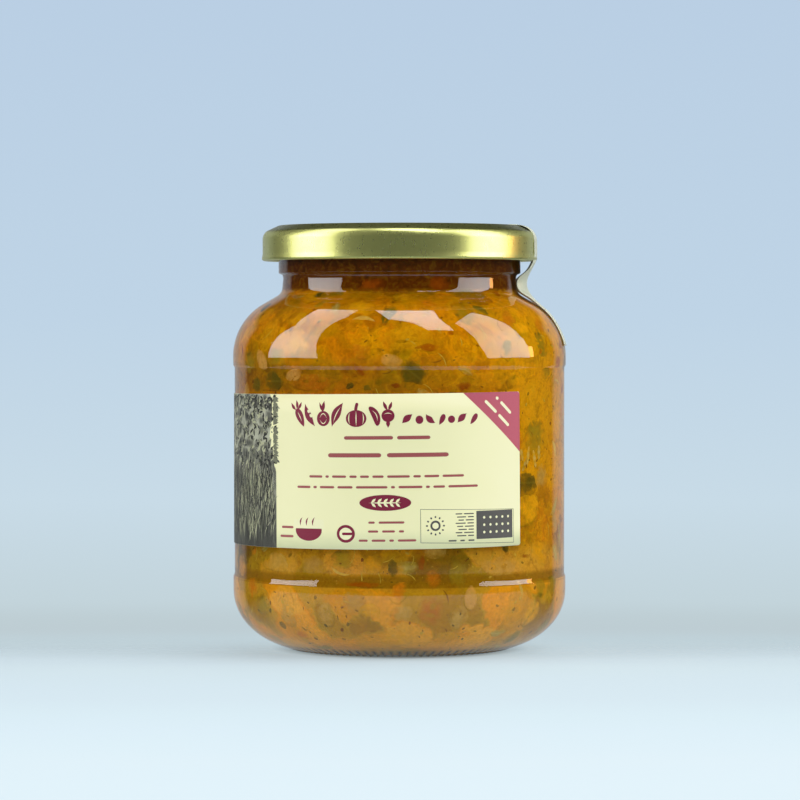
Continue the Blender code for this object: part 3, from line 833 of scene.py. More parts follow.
def stamp_rows():
    """A thin frame that holds a sun, small lines of words and a dark field."""
    rows = [
        ("flat", 4.7, 9.15, 28.8, 8.55, 0.05, 0.0),
        ("flat", 4.7, 1.45, 28.8, 0.75, 0.05, 0.0),
        ("flat", 4.75, 1.45, 4.75, 9.15, 0.05, 0.0),
        ("flat", 28.8, 0.75, 28.8, 8.55, 0.05, 0.0),
        ("flat", 18.25, 5.2, 28.45, 5.2, 3.25, 0.0),
        ("oval", 7.0, 5.3, 9.4, 5.3, 1.2, 0.0),
    ]
    turn = np.radians(np.arange(0, 360, 30))
    for c, s in zip(np.cos(turn), np.sin(turn)):
        rows.append(("oval", 8.2 + 1.75 * c, 5.3 + 1.75 * s, 8.2 + 2.25 * c, 5.3 + 2.25 * s, 0.2, 0.0))
    for k in range(8):
        rows += words(13.0 + 0.35 * (k % 3), 17.6, 7.9 - 0.72 * k, 0.13, [3, 2] if k % 2 else [2, 3], gap=0.4)
    return rows + words(11.3, 17.7, 1.75, 0.17, [5, 3, 4])


def add_corner(ink):
    """The rose corner: each row runs from the straight slope to the label's end, rounded as the paper is."""
    corner, foot, top = CORNER_ROUND, ROSE_FOOT * MM, LABEL_HEIGHT
    z = np.linspace(foot, top, 45)[:, None]
    near = np.clip(corner - (top - z), 0, corner)
    right = LABEL_EDGE - (corner - np.sqrt(corner**2 - near**2))
    left = LABEL_EDGE - 0.05 * MM - (z - foot) / (top - foot) * (LABEL_EDGE - ROSE_LEFT * MM)
    x = left + (right - left) * np.linspace(0, 1, 13)
    points = label_spot(x, z, 0.012 * MM).reshape(-1, 3)
    made = add_mesh("print_corner", points, [grid_faces(*x.shape)], ink)
    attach(made, "root")


def steam(foot):
    """Three wisps over the bowl, from their foot up."""
    return [("leaf", x, foot, x + 0.5, 7.3, 0.2, 0.35) for x in (-24.4, -22.7, -21.0)]


def add_label_print():
    maroon, rose, brick, grey, cream = (flat_finish(name + "_ink", *shades) for name, shades in INKS.items())
    badges = [
        ("oval", -9.37, OVAL_HEIGHT, 2.64, OVAL_HEIGHT, 1.84, 0.0),
        ("oval", -25.9, 4.3, -18.7, 4.3, 2.45, 0.0),
        ("oval", -14.9, 3.6, -10.5, 3.6, 2.05, 0.0),
    ]
    add_print("print_maroon", TITLE + TITLE_SMALL + badges + steam(5.3), maroon, 0.020 * MM)
    cuts = [("flat", -26.4, 5.75, -18.2, 5.75, 1.05, 0.0), ("oval", -14.25, 3.6, -11.15, 3.6, 1.4, 0.0)]
    add_print("print_cream", TITLE_CUTS + cuts, cream, 0.030 * MM)
    bar = [("bar", -13.6, 3.6, -11.0, 3.6, 0.3, 0.0)]
    add_print("print_maroon_inner", steam(5.25) + bar, maroon, 0.036 * MM)
    add_print("print_sprig", sprig_rows(), cream, 0.042 * MM)
    add_print("print_words", [row for line in LINES for row in words(*line)], brick, 0.020 * MM)
    add_print("print_grey", stamp_rows(), grey, 0.020 * MM)
    dots = [(x, z) for x in (20.0, 21.7, 23.4, 25.1, 26.8) for z in (3.5, 5.2, 6.9)]
    pale = [("oval", x, z, x + 0.6, z, 0.3, 0.0) for x, z in dots]
    pale.append(("oval", 7.45, 5.3, 8.95, 5.3, 0.72, 0.0))
    add_print("print_pale", pale, cream, 0.030 * MM)
    add_corner(rose)


def add_landscape():
    """The printed strip to the left: engraved foliage over tall grass in grey-green, with a ragged edge."""
    strip = Finish("engraving")
    spot = strip.node("UVMap", {"uv_map": "sheet"}, output="UV")
    x, z = (strip.part(spot, axis) for axis in range(2))
    moved = strip.moved(spot, strip.noise(spot, 5 * MM, 3.0, output="Color"), 1.6 * MM)
    leaves = strip.cells(moved, 2.3 * MM, 0.2)
    clumps = strip.noise(moved, 6.5 * MM, 3.0, 0.55)
    canopy = (z + 0.016 * (clumps - 0.5)).step(0.0165, 0.0235)
    upright = strip.node("Mapping", {}, {"Vector": moved, "Scale": (1.0, 0.16, 1.0)})
    stalks = strip.noise(upright, 0.9 * MM, 3.0, 0.6)
    tone = canopy * (0.25 + 1.14 * leaves) + (1 - canopy) * (0.1 + 1.1 * stalks)
    tone = tone * 0.75 + 0.4 * (clumps - 0.35)
    lines = ((strip.part(moved, 1) * 0.8 + strip.part(moved, 0)) * 15000.0).maths("SINE")
    tone = tone + 0.10 * lines - 0.20 * (1 - canopy) * (1 - z.step(0.0, 0.014)) - 0.12
    shade = strip.ramp(tone.step(0.12, 0.80), ENGRAVING)
    ragged = (x - STRIP_RIGHT + 0.0016 * canopy * (clumps + leaves)).step(-0.0001, 0.0002)
    shade = strip.blend(ragged, shade, CREAM)
    finish = strip.show(strip.shader(Base_Color=shade, Roughness=0.45, Specular_IOR_Level=0.15))
    along = np.arange(STRIP_LEFT, STRIP_RIGHT + 1.0 * MM, 0.8 * MM)
    x, z = np.meshgrid(along, np.linspace(0.02 * MM, LABEL_HEIGHT - 0.02 * MM, 9))
    points = label_spot(x, z, 0.010 * MM).reshape(-1, 3)
    made = add_mesh("print_landscape", points, [grid_faces(*x.shape)], finish)
    flat = np.stack([x, z], axis=-1).reshape(-1, 2)
    corners = np.empty(len(made.data.loops), np.int32)
    made.data.loops.foreach_get("vertex_index", corners)
    sheet = made.data.uv_layers.new(name="sheet")
    sheet.data.foreach_set("uv", flat[corners].astype(np.float32).reshape(-1))
    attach(made, "root")


ENGRAVING = [  # from the darkest lines to the paper between them
    (0.0, (0.045, 0.045, 0.038)),
    (0.35, (0.10, 0.10, 0.08)),
    (0.7, (0.22, 0.22, 0.17)),
    (1.0, (0.46, 0.46, 0.34)),
]
STROKES = [  # ink, colour, count of leaves and count of blades of grass
    ("pale", (0.50, 0.50, 0.31), 420, 330),
    ("dark", (0.030, 0.030, 0.026), 760, 480),
    ("middle", (0.20, 0.205, 0.135), 300, 160),
]


def add_foliage():
    """Small strokes over the strip: leaves in clumps above and long grass below, in three inks. All but
    the pale ink also have leaves along the ragged edge."""
    left, right = STRIP_LEFT / MM, STRIP_RIGHT / MM
    for number, (name, colour, leaves, blades) in enumerate(STROKES):
        x, z = draw.uniform(left + 1, right - 0.2, leaves), 35.4 - 16.5 * draw.uniform(0, 1, leaves) ** 1.3
        clump = np.sin(1.15 * x + 0.6 * z + 2.2 * number) + np.sin(0.7 * x - 0.9 * z + number)
        x, z = x[clump > -0.7], z[clump > -0.7]
        turn, long = draw.uniform(0, TAU, len(x)), draw.uniform(0.7, 2.0, len(x))
        rows = []
        for a, b, l, t in zip(x, z, long, turn):
            tip = a + l * math.cos(t), min(b + l * math.sin(t), 35.3)
            rows.append(("leaf", a, min(b, 34.9), *tip, 0.10 + 0.13 * l, 0.12 * l))
        x, z = draw.uniform(left + 0.5, right - 0.9, blades), draw.uniform(0.5, 15, blades)
        long, lean = draw.uniform(3, 8, blades), draw.normal(0.5, 1.3, blades)
        for a, b, l, c in zip(x, z, long, lean):
            rows.append(("leaf", a, b, a + c, min(b + l, 24), draw.uniform(0.09, 0.2), 0.25 * c))
        if name != "pale":
            for b in draw.uniform(19.5, 35.2, 90):
                tip = right + draw.uniform(-0.1, 1.1), min(b + draw.uniform(-0.9, 0.9), 35.3)
                rows.append(("leaf", right - 0.9, b, *tip, 0.24, 0.2))
        ink = flat_finish(name + "_engraving", colour, tuple(0.8 * c for c in colour))
        lift = (0.014 + 0.003 * number) * MM
        add_print("print_" + name + "_strokes", rows, ink, lift, steps=7, wide=3)


add_label_print()
add_landscape()
add_foliage()


# Seal strip


def seal_path():
    """The strip's line over the lid's edge, past its curl and down the shoulder, as (radius, height)."""
    line = np.array([
        (27.0, 101.26), (29.4, 101.24), (30.9, 100.85), (31.6, 100.3), (32.4, 99.5), (32.84, 98.7),
        (32.88, 97.5), (32.90, 95.0), (33.0, 93.6), (32.75, 92.6), (31.9, 91.2), (31.0, 89.6),
        (30.45, 88.2), (30.35, 87.0), (30.6, 85.9), (31.4, 84.6), (32.6, 83.3), (33.75, 82.25),
        (35.1, 81.15), (36.4, 79.85), (37.75, 77.9), (38.9, 75.7), (39.75, 73.4), (39.95, 72.5),
    ]) * MM
    return softened(along_path(line, 0.5 * MM), 6)


def add_seal():
    """The strip as a grid: across it the sheet follows the jar's round, and its edges are drawn in at
    the neck, where it is free and creased."""
    path = seal_path()[::-1]
    across = np.linspace(-0.5, 0.5, 25)[None, :] * SEAL_WIDTH
    radius, height = path[:, :1], path[:, 1:]
    free = np.exp(-(((height - 87.0 * MM) / (2.7 * MM)) ** 4))
    drawn_in = 1.7 * MM * (2 * across / SEAL_WIDTH) ** 2 * free
    crease = 0.05 * MM * np.sin(across / SEAL_WIDTH * 40 + 250 * height)
    crease = crease + 0.07 * MM * np.sin(across / SEAL_WIDTH * 17)
    ripple = crease * np.exp(-(((height - 88.0 * MM) / (4.5 * MM)) ** 2)) - drawn_in
    degrees = 90 + np.degrees(np.arcsin(across / radius))
    points = on_round(radius + ripple, degrees, height).reshape(-1, 3)
    strip = Finish("seal_paper")
    place = strip.place()
    cloud = strip.noise(strip.place(stretch=(1, 1, 0.2)), 0.8 * MM, 3.0)
    shade = strip.blend(cloud, (0.52, 0.55, 0.41), (0.64, 0.66, 0.52))
    normal = strip.bump(strip.noise(place, 1.2 * MM, 2.0), 0.03 * MM)
    sheet = strip.shader(Base_Color=shade, Roughness=0.38, Normal=normal)
    made = add_mesh("seal_strip", points, [grid_faces(len(path), 25)], strip.show(sheet))
    wall = made.modifiers.new("Thickness", "SOLIDIFY")
    wall.thickness, wall.offset = 0.10 * MM, 1.0
    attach(made, "root")
    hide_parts("seal")


add_seal()


# Soup


AMBER, ORANGE, BROWN = (0.56, 0.205, 0.001), (0.63, 0.180, 0.001), (0.17, 0.047, 0.001)
YELLOW, OLIVE, DULL = (0.74, 0.320, 0.001), (0.19, 0.118, 0.001), (0.37, 0.175, 0.001)
BAND = [  # lumps between the label and the step, from dark to bright
    (0.08, (0.12, 0.075, 0.003)),
    (0.24, (0.20, 0.11, 0.003)),
    (0.38, (0.34, 0.19, 0.005)),
    (0.5, (0.50, 0.235, 0.008)),
    (0.62, (0.54, 0.235, 0.012)),
    (0.76, (0.57, 0.28, 0.022)),
    (0.92, (0.66, 0.28, 0.020)),
]
HEEL = [  # lumps below the step
    (0.08, (0.34, 0.155, 0.003)),
    (0.24, (0.42, 0.22, 0.006)),
    (0.4, (0.54, 0.27, 0.014)),
    (0.55, (0.64, 0.255, 0.006)),
    (0.72, (0.80, 0.29, 0.006)),
    (0.9, (0.82, 0.36, 0.026)),
]


def pulp_shade(soup):
    """The thick liquid: amber with soft lumps of orange, yellow, olive and brown, darker between them, with
    grain and flecks. It is tan and olive below the label, with painted light at the very foot and painted
    shade at the glass step, and dark red-brown in the neck, partly its own colour and partly painted shade
    under the lid."""
    place = soup.place()
    x, high = soup.part(place, 0), soup.part(place, 2)
    drift = soup.noise(place, 5.0 * MM, 3.0, 0.6, output="Color")
    pushed = soup.moved(place, drift, 3.4 * MM)
    broad = soup.noise(soup.place((0.1, 0.2, 0.3)), 13 * MM, 3.0, 0.55)
    shade = soup.ramp(broad, [(0.30, OLIVE), (0.40, DULL), (0.5, AMBER), (0.58, ORANGE), (0.68, YELLOW)])
    tones = (OLIVE, DULL, AMBER, YELLOW, ORANGE, DULL, AMBER, BROWN)
    kinds = list(zip((0.0, 0.16, 0.3, 0.44, 0.56, 0.68, 0.8, 0.92), tones))
    pick = soup.cells(pushed, 5.5 * MM, 0.5, "Color")
    shade = soup.blend(0.5, shade, soup.ramp(soup.part(pick, 0), kinds))
    small = soup.cells(pushed, 2.3 * MM, 0.4, "Color")
    shade = soup.blend(0.25, shade, soup.ramp(soup.part(small, 1), kinds))

    # Below the label, and paler still at the foot, where painted light brightens the lowest millimetres; then
    # yellow at the right of the label
    low = high.step(0.0275, 0.0235)
    side = x.maths("ABSOLUTE").step(0.006, 0.022)
    lump = soup.part(soup.cells(soup.moved(place, drift, 2.6 * MM), 7.5 * MM, 0.35, "Color"), 2)
    foot = high.step(0.0185, 0.0165)
    lumps = soup.blend(foot, soup.ramp(lump, BAND), soup.ramp(lump, HEEL))
    shade = soup.blend(low * (0.65 + 0.2 * side), shade, lumps)
    # Painted light: brighter orange in the lowest 9 mm, against the shade of the floor's contact.
    shade = soup.blend(high.step(0.009, 0.001) * 0.6, shade, (0.95, 0.36, 0.006))
    shade = soup.blend(x.step(0.018, 0.028) * high.step(0.034, 0.044) * 0.5, shade, YELLOW)

    # Painted shade: a darker line at the glass step. Then the dark between lumps, then grain and flecks
    mottle = soup.noise(pushed, 1.6 * MM, 3.0, 0.58)
    seam = high.step(0.0166, 0.0170) * high.step(0.0205, 0.0190)
    shade = soup.blend(seam * 0.8, shade, (0.24, 0.10, 0.002))
    shade = soup.blend((mottle.step(0.45, 0.75) * 0.42) * (1 - 0.5 * foot), shade, BROWN)
    grain = soup.noise(place, 0.6 * MM, 2.0, 0.55)
    grains = soup.ramp(grain, [(0.3, (0.90, 0.89, 0.85)), (0.7, (1.09, 1.09, 1.07))])
    shade = soup.blend(1.0, shade, grains, "MULTIPLY")
    fleck = soup.noise(place, 0.8 * MM, 2.0, 0.55).step(0.67, 0.74)
    fleck = fleck * soup.noise(place, 5 * MM, 1.0).step(0.42, 0.60)
    shade = soup.blend(fleck * 0.6, shade, (0.085, 0.022, 0.002))
    pale = soup.noise(soup.place((0.3, 0.1, 0)), 0.8 * MM, 1.0).step(0.70, 0.78)
    shade = soup.blend(pale * 0.35, shade, (0.60, 0.34, 0.03))

    # The dark stretch above the label's left, and the neck: dark red-brown there is partly the broth's own
    # colour and partly painted shade under the lid
    band = high.step(0.0690, 0.0675) * high.step(0.060, 0.0645) * x.step(0.014, -0.022)
    shade = soup.blend(band * 0.40, shade, (0.06, 0.035, 0.001))
    reds = [(0.30, (0.050, 0.013, 0.001)), (0.5, (0.105, 0.020, 0.001)), (0.72, (0.20, 0.075, 0.002))]
    neck = (high + 0.003 * (mottle - 0.5)).step(0.0838, 0.0862) * 0.94
    return soup.blend(neck, shade, soup.ramp(mottle, reds))


def soup_shader(soup, shade, height=None):
    """Matt, with light that wanders a millimetre or two inside, and with a relief where height is given."""
    normal = {} if height is None else {"Normal": soup.bump(height, 0.15 * MM)}
    return soup.shader(
        Base_Color=shade,
        Roughness=0.5,
        Specular_IOR_Level=0.0,
        Subsurface_Weight=0.35,
        Subsurface_Radius=(1.0, 0.45, 0.12),
        Subsurface_Scale=1.6 * MM,
        **normal,
    )


SOUP_SKIN = 0.10 * MM  # how far the pulp reaches into the glass


def wall_line():
    """The soup's side as a table: length along the jar's inside, radius, height and the outward direction."""
    path = along_path(inner_path(), 0.25 * MM)
    path = path[path[:, 1] < SOUP_LEVEL]
    step = np.gradient(path, axis=0)
    step /= np.hypot(*step.T)[:, None]
    length = np.concatenate([[0], np.cumsum(np.hypot(*np.diff(path, axis=0).T))])
    return length, path[:, 0], path[:, 1], step[:, 1], -step[:, 0]


WALL_LINE = wall_line()


def at_wall(along, degrees, out):
    """Points near the glass: along its inside from the floor's middle, round it, and out from its face."""
    length, radius, height, out_r, out_z = WALL_LINE
    r, z, nr, nz = (np.interp(along, length, column) for column in (radius, height, out_r, out_z))
    return on_round(r + nr * out, degrees, z + nz * out)


def add_pulp():
    """The body of the soup: the jar's inside, let into the glass, closed on top by a lumpy level."""
    soup = Finish("soup")
    pulp = soup_shader(soup, pulp_shade(soup))
    path = thinned(np.column_stack(WALL_LINE[1:3]), 0.02 * MM)
    out = np.gradient(path, axis=0)
    out = np.column_stack([out[:, 1], -out[:, 0]]) / np.hypot(*out.T)[:, None]
    path = path + SOUP_SKIN * out
    path[0] = (0.0, FLOOR_MIDDLE - SOUP_SKIN)
    edge = path[-1, 0]
    top = np.column_stack([np.linspace(edge, 0, 20)[1:], np.full(19, SOUP_LEVEL)])

    def lumpy(radius, angle, height):
        free = (height > SOUP_LEVEL - 0.01 * MM) * np.clip((edge - radius) / (3 * MM), 0, 1)
        x, y = radius * np.sin(angle), radius * np.cos(angle)
        lump = np.sin(520 * x + 1) * np.sin(610 * y) + 0.5 * np.sin(1300 * x + 900 * y)
        return radius, height + 0.7 * MM * free * lump

    body = turned("soup_body", np.vstack([path, top]), 200, soup.show(pulp), lumpy)
    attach(body, "root")
    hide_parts("minestrone")


add_pulp()


# Vegetables pressed against the glass


def give(mesh, name, values):
    """A value or a colour for each point of a mesh."""
    values = np.asarray(values, np.float32)
    if values.ndim == 2:
        values = np.column_stack([values, np.ones(len(values), np.float32)])
        mesh.attributes.new(name, "FLOAT_COLOR", "POINT").data.foreach_set("color", values.reshape(-1))
    else:
        mesh.attributes.new(name, "FLOAT", "POINT").data.foreach_set("value", values)


def add_pieces(
    name, finish, spots, tints, thick=0.8, square=2.0, wobble=0.1, sunk=0.55, bow=0.0, grid=(7, 18)
):
    """Lumps in the soup, each a squashed ball: across the wall cos^blunt of latitude times the outline
    (|cos|^square + |sin|^square)^(-1/square) with a few waves in it, bowed by bow x^2, and outwards
    thick times sin of latitude. A lump is laid along the wall and pressed flat just inside the glass, as
    top - press ln(1 + e^((top - out)/press)). Each row of spots: length along the wall, degrees, half-length,
    half-width and roll in degrees."""
    rows, columns = grid
    blunt = 0.8
    chance = np.random.default_rng(len(name) * 101 + ord(name[0]))
    spots = np.asarray(spots, float)
    count = len(spots)
    along, degrees, half, side, roll = (spots[:, k, None, None] for k in range(5))
    lat = np.radians(np.linspace(-90, 90, rows + 2))[None, :, None]
    lon = (np.arange(columns) / columns * TAU)[None, None, :]

    def any_way(low, high):
        return chance.uniform(low, high, (count, 1, 1))

    outline = (np.abs(np.cos(lon)) ** square + np.abs(np.sin(lon)) ** square) ** (-1 / square)
    for waves in (1, 2, 3, 4, 6):
        outline = outline * (1 + wobble * any_way(-1, 1) / waves**0.4 * np.cos(waves * lon + any_way(0, TAU)))
    ring = np.cos(lat) ** blunt
    x, y = half * outline * ring * np.cos(lon), side * outline * ring * np.sin(lon)
    u, v = x / half, y / side
    y = y + bow * (x * x / half - 0.4 * half)
    top = any_way(0.115, 0.14) * MM
    size = thick * np.sqrt(half * side)
    rise = np.sign(np.sin(lat)) * np.abs(np.sin(lat)) ** blunt
    raw = top + size * (rise - sunk) + any_way(-0.12, 0.12) * x + any_way(-0.12, 0.12) * y
    press = 0.06 * MM
    out = top - press * np.logaddexp(0, (top - raw) / press)
    turn = np.radians(roll)
    spot_u, spot_v = x * np.cos(turn) - y * np.sin(turn), x * np.sin(turn) + y * np.cos(turn)
    radius = np.interp(along, WALL_LINE[0], WALL_LINE[1])
    points = at_wall(along + spot_v, degrees + np.degrees(spot_u / radius), out)

    def by_point(grid_values):
        """The inner rings, then one point for each pole."""
        values = np.broadcast_to(grid_values, (count, rows + 2, columns, *np.shape(grid_values)[3:]))
        body = values[:, 1:-1].reshape(count, rows * columns, *values.shape[3:])
        return np.concatenate([body, values[:, [0, -1], 0]], axis=1).reshape(-1, *values.shape[3:])

    each = rows * columns + 2
    faces = [np.concatenate([kind + each * k for k in range(count)]) for kind in round_faces(rows, columns)]
    made = add_mesh(name, by_point(points), faces, finish)
    give(made.data, "length", by_point(u))
    give(made.data, "width", by_point(v))
    give(made.data, "tint", np.repeat(np.asarray(tints, float), each, axis=0))
    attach(made, "root")
    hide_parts("minestrone")


def piece_finish(name, detail, soft=0.25, ragged=1.7, body=0.52):
    """A vegetable's colour with its own detail, fading to the soup's shade where it sinks in."""
    food = Finish(name)
    tint = food.node("Attribute", {"attribute_name": "tint"}, output="Color")
    place = food.place()
    grain = food.noise(place, 0.9 * MM, 4.0, 0.6)
    grains = food.ramp(grain, [(0.3, (0.62, 0.60, 0.56)), (0.7, (1.16, 1.16, 1.12))])
    shade = food.blend(0.55, tint, grains, "MULTIPLY")
    if detail:
        shade = detail(food, shade, place, grain)
    u, v = food.attribute("length"), food.attribute("width")
    edge = food.noise(food.place((0.7, 0.1, 0.4)), 2.0 * MM, 3.0, 0.6)
    off = (u * u + v * v) ** 0.5 + ragged * (edge - 0.5)
    film = food.noise(place, 3.6 * MM, 3.0, 0.6).step(0.28, 0.62) * 0.35 + body
    share = off.step(1.0, soft) * film
    return food.show(soup_shader(food, food.blend(share, pulp_shade(food), shade), grain))


def skinned(food, shade, place, grain):
    """Courgette: dark green skin along one side."""
    skin = (food.attribute("width") + 0.25 * (grain - 0.5)).step(0.35, 0.62)
    return food.blend(skin * 0.85, shade, (0.085, 0.070, 0.004))


def veined(food, shade, place, grain):
    """Leaf: a pale midrib and side veins over dark green."""
    u, v = food.attribute("length"), food.attribute("width")
    rib = v.maths("ABSOLUTE").step(0.13, 0.03)
    side = ((v.maths("ABSOLUTE") * 1.1 + u) * 2.6).maths("FRACT").step(0.16, 0.04)
    return food.blend(rib.higher(side * 0.5) * 0.28, shade, (0.22, 0.16, 0.012))


def streaked(food, shade, place, grain):
    """Onion and cabbage: fine streaks along the length."""
    streak = (food.attribute("width") * 9 + grain * 2.5).maths("SINE")
    return food.blend((streak * 0.5 + 0.5) * 0.35, shade, (0.62, 0.45, 0.14))


def speckled(food, shade, place, grain):
    """Bean: a paler middle and small red-brown speckles."""
    u, v = food.attribute("length"), food.attribute("width")
    middle = (u * u + v * v).step(0.9, 0.1)
    shade = food.blend(middle * 0.3, shade, (0.60, 0.36, 0.13))
    return food.blend(food.noise(place, 0.7 * MM, 2.0).step(0.60, 0.68) * 0.4, shade, (0.24, 0.06, 0.012))


def rimmed(food, shade, place, grain):
    """Tomato: deeper red at the curled rim."""
    rim = food.attribute("width").maths("ABSOLUTE").step(0.3, 0.8)
    return food.blend(rim * 0.6, shade, (0.16, 0.018, 0.001))


def fibrous(food, shade, place, grain):
    """Squash: fine threads and paler soft spots."""
    drift = food.noise(place, 3 * MM, 1.0, output="Color")
    thread = food.noise(food.moved(place, drift, 2 * MM), 0.5 * MM, 3.0)
    return food.blend(thread.step(0.5, 0.7) * 0.4, shade, (0.62, 0.34, 0.012))


KINDS = {  # count, half-length in mm, width as a share of it, two tints, the shape and the finish's detail
    "squash": (46, (2.6, 4.8), (0.75, 1.0), (0.60, 0.27, 0.002), (0.52, 0.20, 0.002),
        dict(square=3.0, wobble=0.15), fibrous),
    "carrot": (26, (1.8, 3.2), (0.6, 0.95), (0.50, 0.150, 0.003), (0.42, 0.11, 0.002),
        dict(square=2.6, wobble=0.16), fibrous),
    "potato": (22, (2.4, 3.8), (0.7, 1.0), (0.46, 0.25, 0.040), (0.40, 0.20, 0.028),
        dict(square=2.8, wobble=0.16), None),
    "courgette": (30, (2.4, 4.2), (0.55, 0.9), (0.25, 0.155, 0.006), (0.17, 0.105, 0.004),
        dict(square=2.4, wobble=0.16), skinned),
    "bean": (9, (2.6, 3.4), (0.6, 0.68), (0.56, 0.25, 0.040), (0.46, 0.20, 0.025),
        dict(wobble=0.04), speckled),
    "leaf": (22, (2.2, 4.6), (0.45, 0.9), (0.060, 0.042, 0.002), (0.11, 0.072, 0.003),
        dict(wobble=0.30, thick=0.3), veined),
    "cabbage": (20, (2.4, 4.2), (0.3, 0.6), (0.30, 0.20, 0.020), (0.36, 0.23, 0.03),
        dict(wobble=0.2, bow=0.2), streaked),
    "onion": (14, (2.6, 4.4), (0.16, 0.26), (0.52, 0.30, 0.03), (0.46, 0.22, 0.01),
        dict(bow=0.35), streaked),
    "tomato": (30, (1.6, 3.0), (0.4, 0.8), (0.30, 0.06, 0.001), (0.20, 0.035, 0.001),
        dict(wobble=0.28, thick=0.4), rimmed),
}
EDGES = {  # how soft and how ragged an edge is, and how clearly the piece shows, where not as the others
    "bean": (0.6, 0.9, 0.32),
    "onion": (0.6, 0.8, 0.6),
    "leaf": (0.5, 1.2, 0.6),
}
HIDDEN = (-212, 43, 30, 58)  # degrees and heights in millimetres that lie behind the label
PLACED = {  # what the front shows: degrees, height in mm, half-length round the jar, half-height and roll
    "carrot": [(-13.8, 71.3, 3, 2.2, 0), (44.8, 77.7, 4.5, 2.4, 30), (-31.9, 64.3, 7.5, 2.6, 0),
        (45.8, 50.7, 2.5, 2.9, 0), (10.9, 11.9, 4.1, 4, 0)],
    "squash": [(33.0, 64.6, 8.0, 2.8, 0), (52.0, 71.5, 4.5, 4.0, 0), (52.0, 34.5, 5.0, 4.5, 0),
        (-54.0, 75.0, 4.0, 4.0, 0), (3.0, 74.2, 7.4, 4, 0), (50.8, 76.0, 2.9, 2, 0),
        (48.4, 59.7, 7.8, 7.5, 0), (-9.4, 22.5, 2.5, 2.7, 0), (-10.6, 11.9, 2.7, 2.1, 0),
        (-2.4, 6.1, 4.2, 3.4, 0), (44.8, 10.5, 5.1, 4.5, 0), (18.4, 6.4, 3.1, 2.1, 0)],
    "tomato": [(18.6, 75.2, 1.1, 0.8, 0), (58.0, 71.1, 1.4, 1, 0), (9.7, 72.2, 3.1, 1, 0),
        (-14.9, 86.5, 4.2, 2.5, 0), (19.5, 87.0, 3.9, 2.5, 0), (-1.4, 63.5, 1.5, 0.8, 0),
        (23.4, 63.4, 2.5, 1.5, 20), (45.8, 58.8, 1.1, 0.8, 0), (44.3, 46.1, 1.1, 1.3, 0),
        (50.6, 23.5, 2, 0.8, 0), (7.5, 22.5, 1.3, 2.3, 0), (-12.9, 17.6, 5.7, 1, 0)],
    "courgette": [(60.0, 72.5, 3.4, 3.8, 0), (-47.7, 70.2, 3.1, 2.5, 0), (-34.2, 83.7, 4, 2.5, 8),
        (36.8, 83.5, 6.1, 3, -6), (55.4, 51.4, 4.8, 5.5, 0), (-20.3, 23.5, 3.5, 3, 0),
        (20.6, 20.5, 2.9, 4.8, 0), (-35.8, 4.5, 3.4, 1.7, 0)],
    "leaf": [(-42.3, 83.3, 2.5, 2.2, 10), (-50.0, 64.4, 4.1, 3.2, 0), (-17.6, 63.4, 1.4, 1, 30),
        (-11.6, 63.0, 1.4, 1, 0), (49.4, 40.6, 5.8, 3.2, 0), (-2.4, 21.8, 1.6, 2.4, 0),
        (-48.7, 8.2, 1.3, 1.5, 0)],
    "onion": [(47.8, 47.8, 0.6, 2.6, 20), (51.7, 47.1, 0.6, 2.6, -8), (55.4, 46.3, 0.7, 2.6, 14),
        (50.0, 45.0, 0.6, 2.3, -30), (58.2, 47.6, 0.7, 2.1, 0), (-21.3, 20.7, 3.2, 0.4, -22)],
    "potato": [(-48.4, 22.4, 4.7, 2.8, 0), (-31.9, 22.0, 3.6, 2.8, 0), (37.1, 21.4, 7.4, 2.8, 0),
        (-43.8, 10.5, 3.1, 4.3, 0), (-27.3, 11.1, 2.4, 3.5, 0), (-15.8, 13.7, 3.5, 2.8, 0)],
    "cabbage": [(2.7, 21.8, 3.2, 2.3, 0), (40.4, 6.9, 2.7, 1.4, 0)],
    "bean": [(25.7, 14.6, 2, 3.2, 0)],
}


def wall_place(height):
    """How far along the wall a height of its side lies."""
    length, _, z = WALL_LINE[:3]
    low = np.argmin(z)
    return np.interp(height, z[low:], length[low:])


def along_wall(low, high, count=None):
    """Random lengths along the wall, between two shares of its area: the chance follows the wall's radius."""
    length, radius = WALL_LINE[:2]
    share = np.cumsum(radius)
    return np.interp(draw.uniform(low, high, count), share / share[-1], length)


def scatter():
    """Every piece's spot: first those listed, then random ones that keep off each other and don't lie behind
    the label. Leaf, tomato and bean also keep out of the heel."""
    length, radius, height = WALL_LINE[:3]
    spots = {}
    for kind, rows in PLACED.items():
        spots[kind] = [(wall_place(z * MM), deg, a * MM, b * MM, roll) for deg, z, a, b, roll in rows]
    taken = [spot for rows in spots.values() for spot in rows]
    from_deg, to_deg, foot, top = HIDDEN
    for kind, (count, sizes, widths, *_rest) in KINDS.items():
        for _ in range(count):
            for _try in range(40):
                along = along_wall(0.03, 0.93)
                deg, half = draw.uniform(-180, 180), draw.uniform(*sizes) * MM
                side, z = half * draw.uniform(*widths), np.interp(along, length, height) / MM
                hidden = foot < z < top and (from_deg < deg < to_deg or deg > from_deg + 360)
                hidden = hidden or (kind in ("leaf", "tomato", "bean") and z < 19)
                others = np.array(taken)
                r = np.interp(along, length, radius)
                gap = np.hypot(others[:, 0] - along, np.radians((others[:, 1] - deg + 180) % 360 - 180) * r)
                reach = np.sqrt(half * side) + np.sqrt(others[:, 2] * others[:, 3])
                if not hidden and (gap > 0.80 * reach).all():
                    spots[kind].append((along, deg, half, side, draw.uniform(0, 180)))
                    taken.append(spots[kind][-1])
                    break
    return spots


def add_vegetables():
    """One piece for each kind, every lump with a tint of its own between the kind's two."""
    for kind, spots in scatter().items():
        *_rest, first, second, shape, detail = KINDS[kind]
        share = draw.uniform(0, 1, (len(spots), 1))
        tints = np.array(first) * share + np.array(second) * (1 - share)
        tints = tints * draw.uniform(1.05, 1.5, (len(spots), 1))
        add_pieces(kind, piece_finish(kind, detail, *EDGES.get(kind, ())), spots, tints, **shape)


add_vegetables()


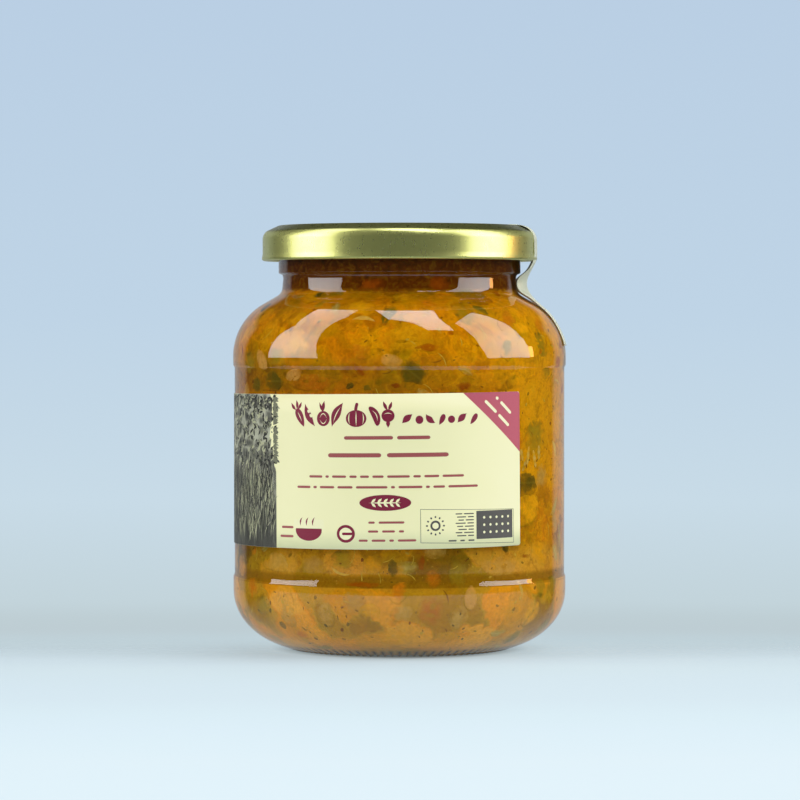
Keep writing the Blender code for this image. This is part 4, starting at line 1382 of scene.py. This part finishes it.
def add_crumbs():
    """Herb flecks, skin and paler grains, half of them in loose clusters: tiny lumps of few faces."""
    count, groups = 1100, 130
    centres, centre_degrees = along_wall(0.1, 1, groups), draw.uniform(-180, 180, groups)
    pick = draw.integers(0, groups, count)
    loose = draw.uniform(0, 1, count) < 0.5
    along = np.where(loose, along_wall(0.05, 0.995, count), centres[pick] + draw.normal(0, 2.6 * MM, count))
    degrees = draw.uniform(-180, 180, count)
    degrees = np.where(loose, degrees, centre_degrees[pick] + draw.normal(0, 4.0, count))
    along = np.clip(along, 6 * MM, WALL_LINE[0][-1] - 1 * MM)
    half = draw.uniform(0.22, 0.75, count) * MM
    side, roll = half * draw.uniform(0.25, 0.8, count), draw.uniform(0, 180, count)
    spots = np.column_stack([along, degrees, half, side, roll])
    tints = CRUMBS[draw.choice(len(CRUMBS), count, p=[0.26, 0.24, 0.18, 0.14, 0.18])]
    # In the neck the crumbs are dark red-brown, partly painted shade under the lid like the soup around them.
    tints[along > wall_place(83.5 * MM)] = (0.16, 0.035, 0.002)
    finish = piece_finish("crumbs", None, 0.7, 0.8, 0.5)
    add_pieces("crumbs", finish, spots, tints, thick=0.9, wobble=0.25, sunk=0.3, grid=(3, 8))


def add_threads():
    """Thin bowed threads, most of them pale."""
    count = 150
    half, along = draw.uniform(1.0, 2.6, count) * MM, along_wall(0.1, 0.86, count)
    degrees, roll = draw.uniform(-180, 180, count), draw.uniform(0, 180, count)
    spots = np.column_stack([along, degrees, half, np.full(count, 0.16 * MM), roll])
    tints = np.where(draw.uniform(0, 1, (count, 1)) < 0.7, (0.60, 0.36, 0.03), (0.20, 0.06, 0.003))
    finish = piece_finish("threads", None, 0.7, 0.5, 0.5)
    add_pieces("threads", finish, spots, tints, thick=1.0, bow=0.3, sunk=0.3, grid=(3, 12))


CRUMBS = np.array([  # two greens, a brown, a tan and a pale grain
    (0.09, 0.06, 0.004),
    (0.12, 0.045, 0.003),
    (0.18, 0.04, 0.003),
    (0.25, 0.12, 0.005),
    (0.55, 0.32, 0.03),
])


add_crumbs()
add_threads()
